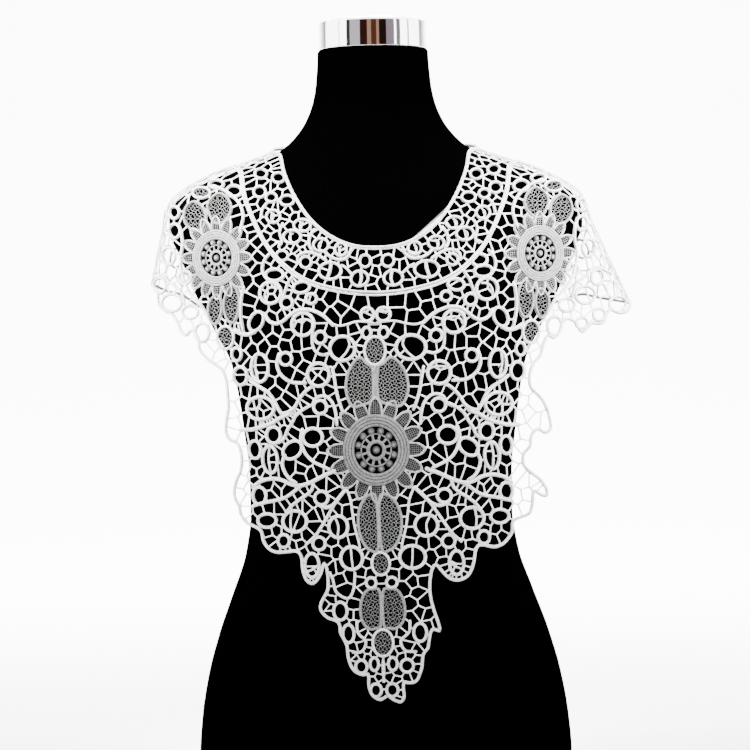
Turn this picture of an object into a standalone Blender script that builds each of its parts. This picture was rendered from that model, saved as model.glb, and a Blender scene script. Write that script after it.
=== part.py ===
"""Lace collar on a limbless dress form.

The form stands on a flat base and carries a turned neck cap.  The collar is a set
of openwork walls: a neck band in two halves, a front panel that runs from the
shoulder wings to a long pointed tip, a back cape, and three raised rosettes.
The front faces -Y, the wearer's left is +X, up is +Z, and the origin is the
centre of the form's flat base.
"""

import math

import bmesh
import bpy
import numpy as np
from mathutils import Vector, kdtree
from mathutils.geometry import delaunay_2d_cdt

# ---------------------------------------------------------------- dimensions (mm)
MM = 0.001
NECK_TOP = 695.0          # where the padded neck ends and the cap begins
CAP_TOP = 723.0
CAP_RADIUS = 50.0
CAP_GAP = 0.3             # cap to neck

CLOTH_CLEARANCE = 3.2     # inner face of the cloth to the form
WALL = 1.7                # thickness of the lace ground
LEAF_RELIEF = 0.7         # how far leaves and net rings stand proud of the ground
SEAM_GAP = 0.36           # between pieces that meet at a seam
ROSETTE_GAP = 0.60        # rosette to the lace under it

CORD_HALF = 1.6           # half width of a ring's cord
BRIDE_HALF = 0.70         # half width of a bride, the bar between two gaps
GAP_SIDES = 6             # corners of a cut gap
GAP_PITCH = 13.0          # spacing of gap centres in open ground
MIN_GAP_RADIUS = 2.6      # smaller spaces stay closed
FRONT_GAPS = 206          # cut in the front panel, largest first
BAND_GAPS = 26            # cut in each half of the neck band
BACK_GAPS = 42            # cut in the back cape

FLAT_NECK_RADIUS = 80.0   # neck radius of the flat layout used for meshing

# The form, level by level: height, half width, depth to the front, depth to the
# back, and how square the section is (2 is an ellipse).
FORM_COLUMNS = ("z", "half_width", "front", "back", "square")
FORM_SECTIONS = (
    (0.0, 171.3, 100.0, 116.0, 2.25),
    (50.0, 170.8, 100.0, 117.0, 2.25),
    (87.0, 167.8, 100.0, 117.0, 2.25),
    (124.0, 161.3, 99.5, 115.0, 2.25),
    (160.0, 151.3, 98.0, 109.0, 2.2),
    (197.0, 137.9, 95.0, 98.0, 2.2),
    (234.0, 125.3, 92.5, 85.0, 2.15),
    (270.0, 120.3, 91.5, 77.0, 2.1),
    (307.0, 120.6, 93.5, 76.0, 2.1),
    (344.0, 124.7, 99.0, 80.0, 2.15),
    (381.0, 129.7, 108.0, 87.0, 2.2),
    (410.0, 136.0, 117.0, 92.0, 2.25),
    (436.0, 149.0, 122.0, 96.0, 2.3),
    (473.0, 167.4, 118.0, 100.0, 2.3),
    (510.0, 182.0, 107.0, 102.0, 2.3),
    (528.0, 189.5, 99.8, 101.2, 2.3),
    (543.0, 190.0, 93.5, 99.0, 2.25),
    (554.0, 186.0, 88.5, 96.0, 2.2),
    (563.0, 176.5, 83.5, 91.5, 2.15),
    (570.5, 164.0, 79.3, 87.0, 2.1),
    (579.0, 146.5, 75.0, 82.0, 2.05),
    (588.5, 120.0, 70.5, 76.0, 2.0),
    (599.0, 92.0, 66.0, 71.0, 2.0),
    (611.0, 76.3, 61.0, 66.0, 2.0),
    (629.0, 62.8, 55.0, 59.0, 2.0),
    (648.0, 55.6, 51.5, 53.5, 2.0),
    (666.0, 52.6, 51.3, 52.3, 2.0),
    (NECK_TOP, 50.6, 50.6, 50.6, 2.0),
)
FORM_LEVELS = (
    0.0, 46.0, 90.0, 130.0, 166.0, 200.0, 236.0, 272.0, 310.0, 346.0, 380.0,
    408.0, 432.0, 454.0, 482.0, 510.0, 530.0, 545.0, 556.0, 566.0, 577.0, 588.5,
    599.0, 610.0, 624.0, 644.0, 668.0, NECK_TOP,
)
FORM_SIDES = 40

CAP_PROFILE = (           # radius, height, down the outer side
    (0.0, CAP_TOP),
    (31.0, CAP_TOP - 0.4),
    (45.7, CAP_TOP - 1.6),
    (49.2, CAP_TOP - 4.6),
    (CAP_RADIUS, CAP_TOP - 8.5),
    (CAP_RADIUS, NECK_TOP + CAP_GAP + 0.8),
    (CAP_RADIUS - 0.8, NECK_TOP + CAP_GAP),
    (0.0, NECK_TOP + CAP_GAP),
)

# How the cloth leaves the form below the bust and shoulders: it may fall inward
# by `inward` and flares by `outward` mm for each mm down, by angle from the front.
DRAPE_COLUMNS = ("angle", "inward", "outward")
DRAPE = (
    (-180.0, 0.05, 0.02),
    (-120.0, 0.00, 0.05),
    (-90.0, 0.00, 0.22),
    (-72.0, 0.00, 0.07),
    (-55.0, 0.02, 0.00),
    (0.0, 0.10, 0.00),
    (55.0, 0.02, 0.00),
    (72.0, 0.00, 0.13),
    (90.0, 0.00, 0.45),
    (120.0, 0.00, 0.10),
    (180.0, 0.05, 0.02),
)

# Outlines as they show from VIEW_DISTANCE in front at VIEW_HEIGHT, in mm from the
# centre line and above the base, measured in the plane of the neck axis.
VIEW_DISTANCE = 3350.0
VIEW_HEIGHT = 395.0
NECK_EDGE = (
    (0.0, 513.5), (15.0, 514.3), (29.0, 518.0), (47.0, 528.0), (62.0, 543.0),
    (71.5, 558.0), (78.5, 572.5), (82.5, 585.0), (84.8, 600.0),
)
BAND_EDGE = (
    (0.0, 470.0), (20.0, 471.5), (40.0, 475.0), (59.0, 480.5), (79.0, 492.0),
    (100.0, 514.0), (113.0, 541.0), (120.5, 562.0), (123.0, 586.0),
)
HEM_LEFT = (
    (208.0, 480.0), (202.5, 475.0), (201.5, 464.0), (196.0, 456.5), (189.0, 453.0),
    (184.5, 446.0), (181.0, 437.0), (176.0, 433.5), (171.0, 438.0), (166.0, 431.0),
    (165.0, 421.0), (159.0, 413.0), (151.0, 406.5), (144.0, 401.0), (141.0, 392.0),
    (140.0, 380.0), (139.5, 368.0), (141.5, 357.0), (142.0, 345.0), (138.5, 337.0),
    (131.0, 333.0), (128.0, 322.0), (129.0, 311.0), (133.0, 302.0), (135.5, 292.0),
    (134.5, 282.5), (131.0, 276.0), (129.5, 268.0), (124.0, 260.0), (116.0, 256.0),
    (111.0, 252.0), (109.5, 244.0), (105.0, 236.5), (98.0, 232.5), (88.0, 232.5),
    (79.0, 233.0), (75.0, 229.0), (74.0, 217.0), (70.5, 206.5), (66.0, 203.0),
    (61.0, 205.0), (56.5, 212.0), (53.5, 221.0), (51.5, 214.0), (51.3, 200.0),
    (56.0, 191.0), (58.5, 184.0), (57.0, 177.0), (51.0, 171.0), (44.0, 168.5),
    (41.0, 165.0), (40.5, 158.0), (37.0, 151.0), (34.5, 145.0), (34.0, 137.0),
    (31.5, 127.5), (27.0, 121.0), (20.0, 118.0), (15.5, 118.5), (15.5, 110.0),
    (13.5, 102.0), (9.5, 97.0), (4.0, 94.8), (-0.5, 97.5),
)
HEM_RIGHT = (
    (233.5, 455.0), (230.0, 448.0), (222.0, 446.5), (213.5, 450.0), (211.0, 445.0),
    (207.5, 438.0), (201.5, 437.0), (196.5, 437.5), (190.0, 430.5), (185.5, 431.0),
    (182.0, 438.0), (175.5, 442.0), (170.5, 440.0), (167.0, 430.0), (161.0, 424.5),
    (156.0, 427.0), (152.0, 419.0), (149.0, 409.0), (142.0, 401.0), (139.0, 391.0),
    (140.0, 382.0), (148.0, 373.5), (154.0, 363.0), (157.0, 352.0), (157.5, 342.5),
    (152.0, 337.5), (145.0, 341.0), (139.5, 336.0), (138.0, 326.0), (131.5, 318.0),
    (132.5, 310.0), (139.0, 303.5), (147.0, 297.0), (152.5, 288.0), (152.5, 280.0),
    (146.5, 280.5), (140.5, 284.0), (139.5, 275.0), (136.5, 264.5), (130.0, 261.0),
    (121.0, 257.0), (119.5, 247.0), (112.0, 237.0), (103.0, 233.5), (92.0, 235.5),
    (86.5, 233.0), (84.0, 220.0), (79.0, 208.5), (70.0, 203.5), (60.0, 206.0),
    (52.5, 214.0), (49.0, 218.0), (45.5, 214.0), (43.5, 198.0), (46.0, 182.0),
    (51.0, 166.0), (51.5, 157.5), (44.5, 158.5), (42.0, 150.0), (40.5, 142.0),
    (36.0, 136.0), (34.5, 124.0), (29.0, 111.5), (21.0, 110.0), (17.5, 110.0),
    (18.0, 98.0), (14.5, 92.5), (8.0, 94.5), (2.5, 98.5),
)
BACK_HEM_COLUMNS = ("angle", "drop")
BACK_HEM = ((115.0, 196.0), (135.0, 182.0), (158.0, 176.0), (180.0, 186.0))
BACK_SCALLOPS = 11
BACK_SCALLOP_DEPTH = 6.0
BACK_BAND_WIDTH = 42.0

# The collar hangs a little off the form's centre line: how far, in mm to the
# wearer's left, along its middle and out at its wings and sides, by height.
SWAY_COLUMNS = ("z", "shift")
MIDDLE_SWAY = (
    (105.0, -0.9), (220.0, -1.8), (270.0, -3.2), (325.0, -3.9), (420.0, -3.6),
    (470.0, -2.0), (500.0, -0.5), (600.0, -0.5),
)
SIDE_SWAY = ((200.0, 1.5), (290.0, 1.5), (330.0, 0.0), (430.0, 0.0), (500.0, 2.0))
SWAY_WIDTH = 60.0

# Scroll rings of one half, seen from the front.
RING_COLUMNS = ("x", "z", "rx", "rz", "tilt")
BAND_RINGS = (
    (10.5, 500.0, 5.4, 5.6, 0.0), (15.5, 484.0, 8.3, 7.0, 0.0),
    (34.0, 511.0, 5.8, 6.0, 0.0), (53.0, 515.5, 7.2, 6.0, 0.0),
    (70.0, 533.8, 7.8, 5.6, 0.0), (79.5, 523.5, 8.0, 6.0, 0.0),
    (96.5, 542.5, 6.3, 5.8, 0.0), (67.5, 500.0, 5.2, 5.3, 0.0),
    (44.5, 491.5, 10.8, 7.8, 0.0), (108.5, 565.3, 5.6, 5.0, 0.0),
    (83.5, 557.0, 6.4, 4.6, 0.0), (98.0, 560.0, 5.0, 4.2, 0.0),
    (91.0, 578.0, 5.6, 4.6, 0.0), (107.0, 582.0, 5.6, 4.4, 0.0),
    (89.0, 506.5, 5.4, 4.6, 0.0),
)
PANEL_RINGS = (
    (92.5, 499.0, 7.0, 5.6, 0.0), (96.0, 488.8, 8.2, 5.4, 0.0),
    (71.0, 477.0, 7.6, 5.2, 170.0), (99.5, 472.5, 9.8, 10.0, 0.0),
    (84.5, 463.0, 5.4, 5.4, 0.0), (62.0, 466.3, 5.0, 4.6, 0.0),
    (23.5, 467.0, 6.4, 6.0, 0.0), (7.4, 450.7, 6.2, 6.2, 0.0),
    (7.8, 434.0, 4.2, 5.0, 0.0), (69.5, 443.0, 10.2, 10.5, 0.0),
    (53.2, 430.5, 5.4, 5.6, 0.0), (31.5, 420.0, 12.7, 11.2, 0.0),
    (85.5, 411.5, 5.6, 5.8, 0.0), (55.5, 396.3, 10.3, 10.6, 0.0),
    (109.5, 403.5, 7.8, 13.0, 0.0), (112.3, 446.5, 9.3, 6.2, 115.0),
    (127.5, 396.5, 6.3, 8.3, 0.0), (130.5, 416.5, 4.3, 6.0, 0.0),
    (54.5, 366.5, 6.2, 6.3, 0.0), (109.5, 366.5, 12.5, 10.5, 0.0),
    (98.0, 341.5, 6.5, 7.5, 0.0), (62.0, 338.8, 9.0, 8.3, 0.0),
    (81.0, 327.5, 9.8, 7.2, 140.0), (102.0, 319.0, 6.8, 12.5, 0.0),
    (115.5, 328.5, 5.5, 8.2, 0.0), (56.5, 282.8, 6.3, 6.3, 0.0),
    (81.5, 261.8, 11.0, 9.8, 0.0), (107.0, 263.0, 8.5, 6.3, 0.0),
    (92.0, 244.0, 5.3, 6.0, 0.0), (66.5, 221.0, 6.6, 11.0, 0.0),
    (40.5, 256.0, 9.6, 10.0, 0.0), (28.0, 227.0, 11.0, 10.5, 0.0),
    (59.5, 241.0, 5.8, 6.0, 0.0), (113.5, 286.0, 6.0, 8.0, 0.0),
    (9.5, 204.0, 4.8, 4.8, 0.0), (40.5, 178.5, 6.6, 8.3, 0.0),
    (33.0, 157.5, 5.6, 8.4, 0.0), (21.0, 127.0, 5.6, 6.0, 0.0),
    (8.5, 129.0, 4.0, 6.0, 0.0), (7.5, 105.0, 5.2, 6.0, 0.0),
    (193.0, 508.0, 6.0, 8.0, 0.0), (190.0, 465.0, 9.0, 8.0, 0.0),
    (201.0, 481.0, 5.5, 7.0, 0.0), (220.0, 456.0, 7.5, 7.0, 0.0),
    (203.0, 446.5, 5.5, 5.5, 0.0), (187.0, 439.0, 5.5, 5.0, 0.0),
    (162.0, 437.0, 6.5, 8.5, 0.0), (209.0, 496.0, 6.0, 7.0, 0.0),
    (173.0, 456.0, 7.0, 6.0, 0.0), (178.0, 488.0, 5.5, 6.0, 0.0),
    (187.0, 531.0, 5.0, 6.5, 0.0), (187.0, 548.0, 4.5, 5.5, 0.0),
    (132.0, 566.5, 7.0, 5.0, 0.0), (148.0, 573.0, 6.5, 3.8, 0.0),
)
# Scroll cords of one half that don't close: half width, then the points passed.
BAND_CORDS = (
    (1.6, ((50.0, 510.0), (45.0, 505.0), (38.0, 502.0), (31.0, 502.0), (26.0, 506.0),
           (23.0, 513.0))),
    (1.5, ((59.0, 530.0), (63.0, 524.0), (64.0, 516.0), (61.0, 510.0))),
    (1.5, ((75.0, 500.0), (74.0, 506.0), (68.0, 509.0), (61.0, 508.5), (54.0, 505.0),
           (48.0, 501.0))),
)
PANEL_CORDS = (
    (1.7, ((38.0, 483.0), (38.5, 466.0), (39.3, 452.0), (42.0, 443.0))),
    (1.9, ((105.0, 453.0), (100.5, 446.5), (94.0, 444.0), (88.0, 446.0), (82.0, 451.0),
           (75.0, 455.5), (66.0, 456.5), (57.0, 454.0), (50.0, 450.0), (44.5, 445.0),
           (40.0, 440.5))),
    (1.2, ((44.0, 444.0), (36.0, 441.0), (27.0, 442.0), (18.0, 444.5), (8.0, 444.0),
           (0.0, 442.5))),
    (1.5, ((60.0, 447.0), (60.5, 437.0), (60.5, 424.0), (57.0, 417.0), (51.0, 414.5),
           (43.5, 416.0))),
    (2.2, ((131.5, 438.5), (126.0, 435.5), (119.5, 434.5), (113.0, 437.5))),
    (1.8, ((91.5, 416.0), (93.5, 407.0), (91.5, 399.0), (86.0, 393.0), (79.0, 389.5),
           (67.0, 388.8))),
    (1.6, ((42.0, 402.0), (40.0, 392.0), (38.5, 382.0), (36.0, 372.0), (32.5, 362.0))),
    (1.6, ((61.5, 369.0), (58.0, 375.0), (51.0, 376.8), (45.0, 373.5), (41.0, 367.0),
           (39.0, 358.0), (38.5, 349.0))),
    (1.8, ((62.0, 385.5), (68.0, 381.0), (74.0, 374.0), (78.0, 367.0), (84.0, 362.5),
           (91.0, 361.0))),
    (1.6, ((64.0, 368.0), (71.0, 364.0), (77.0, 359.0), (81.0, 352.0), (85.0, 346.0),
           (88.5, 338.0), (94.0, 334.0))),
    (1.9, ((118.5, 392.0), (110.0, 386.0), (103.0, 381.5), (98.0, 375.0), (94.0, 367.0),
           (90.0, 360.5))),
    (2.1, ((82.0, 361.5), (92.0, 357.0), (99.0, 352.5), (108.0, 349.5), (118.0, 347.0),
           (129.0, 347.0))),
    (1.8, ((71.5, 346.0), (73.0, 337.0), (71.0, 328.0), (67.0, 321.0), (61.0, 315.5),
           (54.0, 312.0), (47.0, 308.5))),
    (1.8, ((88.5, 323.0), (91.0, 315.0), (89.5, 308.0), (85.0, 301.0), (79.0, 297.0))),
    (2.1, ((119.0, 294.0), (111.0, 299.5), (101.0, 301.5), (92.0, 300.0), (84.0, 296.0),
           (76.0, 294.5), (68.0, 296.5), (60.0, 300.0), (52.0, 304.0), (44.0, 307.0),
           (37.0, 311.5))),
    (1.9, ((119.0, 277.0), (109.0, 279.5), (101.0, 281.0), (92.0, 283.0), (86.0, 286.0),
           (80.0, 290.5), (75.0, 294.0))),
    (1.8, ((89.0, 270.0), (84.0, 276.0), (77.0, 281.5), (70.0, 286.0), (65.0, 291.0),
           (63.5, 298.0))),
    (2.0, ((60.0, 277.0), (52.5, 274.0), (45.0, 276.5), (39.0, 283.0), (33.0, 289.5),
           (28.5, 297.0))),
    (1.6, ((44.0, 277.0), (51.0, 266.0), (58.0, 255.0), (64.0, 247.0), (72.0, 240.0))),
    (1.3, ((31.0, 291.0), (27.0, 280.0), (25.5, 268.0), (23.5, 255.0), (20.5, 243.0),
           (19.0, 235.0))),
    (1.5, ((101.0, 508.0), (106.0, 501.0), (107.0, 493.0), (103.0, 485.5), (96.0, 483.0))),
    (1.4, ((89.0, 466.0), (86.0, 474.0), (83.0, 482.0), (78.0, 489.0))),
    (1.6, ((124.5, 478.0), (126.5, 464.0), (126.5, 451.0), (124.0, 437.0))),
    (1.6, ((128.0, 528.0), (124.0, 543.0), (128.0, 556.0), (139.0, 566.0), (152.0, 572.0))),
    (1.6, ((181.0, 530.0), (180.0, 518.0), (182.0, 500.0), (176.0, 478.0), (163.0, 462.0),
           (155.0, 448.0))),
    (1.6, ((214.0, 484.0), (200.0, 490.0), (192.0, 484.0), (181.0, 474.0), (178.0, 462.0))),
    (1.5, ((46.0, 208.0), (44.0, 196.0), (33.0, 190.0), (27.0, 198.0), (25.0, 214.0))),
    (1.5, ((26.0, 187.0), (33.0, 184.0))),
    (1.5, ((24.5, 168.0), (23.5, 158.0), (16.0, 150.0), (20.0, 141.0), (30.0, 140.0))),
    (1.4, ((0.0, 134.0), (0.5, 124.0), (-0.5, 112.0))),
)
# Half leaves filled with net, by their outlines; those past the first three are
# the leaves of the wings.
LEAVES = (
    ((2.6, 401.0), (8.0, 405.5), (13.0, 411.0), (19.0, 408.5), (25.5, 399.0),
     (28.5, 387.0), (27.5, 376.0), (22.0, 366.5), (12.0, 368.0), (2.6, 374.0)),
    ((2.2, 236.0), (8.0, 233.5), (14.0, 238.0), (18.5, 248.0), (20.0, 260.0),
     (18.5, 271.0), (14.0, 280.0), (8.5, 284.5), (2.2, 281.0)),
    ((1.9, 195.0), (8.0, 198.5), (15.0, 196.0), (19.5, 187.0), (20.5, 176.0),
     (18.0, 167.0), (12.0, 161.5), (6.0, 162.0), (1.9, 165.0)),
    ((149.0, 537.0), (139.0, 541.5), (135.0, 551.5), (139.0, 561.0), (146.0, 564.5),
     (154.0, 559.0), (156.5, 550.0)),
    ((163.0, 531.5), (158.5, 540.0), (159.5, 550.0), (168.0, 557.5), (176.5, 552.0),
     (178.0, 541.0), (172.0, 532.5)),
    ((134.0, 480.5), (128.5, 470.0), (128.5, 457.0), (133.0, 446.0), (138.5, 448.0),
     (142.0, 459.0), (140.5, 471.0)),
    ((147.0, 471.0), (144.0, 461.0), (146.0, 450.0), (151.0, 444.5), (156.0, 452.0),
     (156.0, 463.0), (151.5, 470.0)),
)
# Net-filled rings; the first three lie on the centre line.
NET_RINGS = (
    (0.0, 417.5, 9.6, 13.0, 0.0),
    (0.0, 221.5, 8.2, 10.6, 0.0),
    (0.0, 148.5, 9.4, 12.4, 0.0),
    (162.0, 565.5, 8.0, 4.8, 0.0),
    (140.5, 432.0, 7.6, 10.5, 0.0),
)
# Rosettes: centre and half axes as seen from the front.
ROSETTES = {
    "medallion_centre": (-3.9, 326.0, 44.6, 48.0),
    "medallion_left": (-147.0, 505.5, 31.5, 37.5),
    "medallion_right": (150.0, 504.0, 31.5, 37.5),
}
ROSETTE_PETALS = 16
ROSETTE_RINGS = (         # share of the radius, height above the rosette's base
    (0.10, 2.4), (0.20, 1.3), (0.43, 1.3), (0.50, 2.6), (0.70, 2.6), (0.77, 1.4),
)
ROSETTE_RIM = 1.3
ROSETTE_SEAT = ((0.48, 8), (0.90, 16))   # rings of panel points under it: share, number

# Back cape: rings in rows, by depth below the neck cord, ring radius and number.
BACK_PITCH = 14.0
BACK_BAND_ROWS = (
    (13.5, 6.5, 9),
    (29.0, 6.0, 10),
)
BACK_ROWS = (
    (158.0, 9.0, 11),
    (128.0, 6.5, 10),
    (94.0, 8.0, 7),
    (66.0, 6.0, 6),
)


# ------------------------------------------------------------------ small helpers
def named(table, columns):
    """Return a table's columns as a dict of arrays."""
    rows = np.array(table, float)
    return {name: rows[:, i] for i, name in enumerate(columns)}


def smooth_interp(x, xs, ys):
    """Interpolate with a monotone cubic, flat past both ends."""
    xs, ys = np.asarray(xs, float), np.asarray(ys, float)
    step = np.diff(xs)
    slope = np.diff(ys) / step
    grad = np.zeros_like(ys)
    same = slope[:-1] * slope[1:] > 0
    w1, w2 = 2 * step[1:] + step[:-1], step[1:] + 2 * step[:-1]
    safe = np.where(same, slope[:-1], 1.0), np.where(same, slope[1:], 1.0)
    grad[1:-1] = np.where(same, (w1 + w2) / (w1 / safe[0] + w2 / safe[1]), 0.0)
    x = np.clip(np.asarray(x, float), xs[0], xs[-1])
    i = np.clip(np.searchsorted(xs, x, side="right") - 1, 0, len(xs) - 2)
    t = (x - xs[i]) / step[i]
    a = (1 + 2 * t) * (1 - t) ** 2 * ys[i] + t * (1 - t) ** 2 * step[i] * grad[i]
    return a + t * t * (3 - 2 * t) * ys[i + 1] - t * t * (1 - t) * step[i] * grad[i + 1]


def spline(points, spacing, closed=False):
    """Resample a Catmull-Rom curve through points at about the given spacing."""
    pts = np.array(points, float)
    n = len(pts)
    if closed:
        ext = np.vstack([pts[-1], pts, pts[:2]])
    else:
        ext = np.vstack([2 * pts[0] - pts[1], pts, 2 * pts[-1] - pts[-2]])
    out = []
    for i in range(n if closed else n - 1):
        p0, p1, p2, p3 = ext[i:i + 4]
        count = max(2, int(math.ceil(np.linalg.norm(p2 - p1) / spacing)))
        for t in np.arange(count) / count:
            out.append(0.5 * (2 * p1 + (p2 - p0) * t + (2 * p0 - 5 * p1 + 4 * p2 - p3) * t ** 2
                              + (3 * p1 - p0 - 3 * p2 + p3) * t ** 3))
    if not closed:
        out.append(pts[-1])
    return np.array(out)


def ellipse(x, z, rx, rz, tilt, count=28):
    """Points of a tilted ellipse."""
    a = np.linspace(0.0, 2 * math.pi, count, endpoint=False)
    c, s = math.cos(math.radians(tilt)), math.sin(math.radians(tilt))
    u, v = rx * np.cos(a), rz * np.sin(a)
    return np.column_stack([x + c * u - s * v, z + s * u + c * v])


def inside(points, polygon):
    """Tell which 2D points lie inside a polygon."""
    x, y = points[:, 0], points[:, 1]
    result = np.zeros(len(points), bool)
    for (x0, y0), (x1, y1) in zip(polygon, np.roll(polygon, -1, axis=0)):
        if y0 == y1:
            continue
        cross = (y0 > y) != (y1 > y)
        result ^= cross & (x < (x1 - x0) * (y - y0) / (y1 - y0) + x0)
    return result


def mirrored(points):
    """The same points on the other side of the centre line."""
    return np.asarray(points, float) * (-1.0, 1.0)


def hung(points):
    """Move a shape of the even layout to where it hangs on the form."""
    points = np.asarray(points, float)
    middle, side = named(MIDDLE_SWAY, SWAY_COLUMNS), named(SIDE_SWAY, SWAY_COLUMNS)
    share = np.clip(np.abs(points[:, 0]) / SWAY_WIDTH, 0.0, 1.0)
    share = share * share * (3 - 2 * share)
    shift = (np.interp(points[:, 1], middle["z"], middle["shift"]) * (1 - share)
             + np.interp(points[:, 1], side["z"], side["shift"]) * share)
    return points + np.column_stack([shift, np.zeros(len(points))])


def pair(points):
    """A shape of one half and its mirror image, both as they hang."""
    return hung(points), hung(mirrored(points))


# ---------------------------------------------------------------------- the form
FORM = named(FORM_SECTIONS, FORM_COLUMNS)


def form_radius(angle, z):
    """Distance from the neck axis to the form's surface at an angle and height."""
    half = smooth_interp(z, FORM["z"], FORM["half_width"])
    front = smooth_interp(z, FORM["z"], FORM["front"])
    back = smooth_interp(z, FORM["z"], FORM["back"])
    power = smooth_interp(z, FORM["z"], FORM["square"])
    depth = np.where(np.cos(angle) > 0, front, back)
    across = np.abs(np.sin(angle)) / half
    along = np.abs(np.cos(angle)) / depth
    return (across ** power + along ** power) ** (-1.0 / power)


# ------------------------------------------------------------- the cloth surface
ANGLES = np.radians(np.arange(-180.0, 180.1, 2.0))
STEP = 2.0
LENGTH = 470.0


def drape_section(angle):
    """One vertical section of the cloth: radius and height from above the neck down."""
    z = np.arange(640.0, 70.0, -1.0)
    r = form_radius(angle, z)
    slope = np.gradient(r, z)
    size = np.sqrt(1 + slope ** 2)
    clear = CLOTH_CLEARANCE + WALL / 2
    ro, zo = r + clear / size, z - clear * slope / size
    grid = np.arange(636.0, 74.0, -1.0)
    ro = np.interp(grid, zo[::-1], ro[::-1])
    drape = named(DRAPE, DRAPE_COLUMNS)
    degrees = math.degrees(angle)
    inward = smooth_interp(degrees, drape["angle"], drape["inward"])
    outward = smooth_interp(degrees, drape["angle"], drape["outward"])
    for i in range(1, len(grid)):
        fall = inward if grid[i] < 545.0 else 0.0
        flare = outward * min(1.0, max(0.0, (556.0 - grid[i]) / 26.0))
        ro[i] = max(ro[i], ro[i - 1] - fall + flare)
    length = np.concatenate([[0], np.cumsum(np.hypot(np.diff(ro), np.diff(grid)))])
    s = np.arange(0.0, length[-1], 1.0)
    r, z = np.interp(s, length, ro), np.interp(s, length, grid)
    kernel = np.hanning(19)
    kernel /= kernel.sum()
    r[9:-9] = np.convolve(r, kernel, "valid")
    z[9:-9] = np.convolve(z, kernel, "valid")
    return r, z


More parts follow.
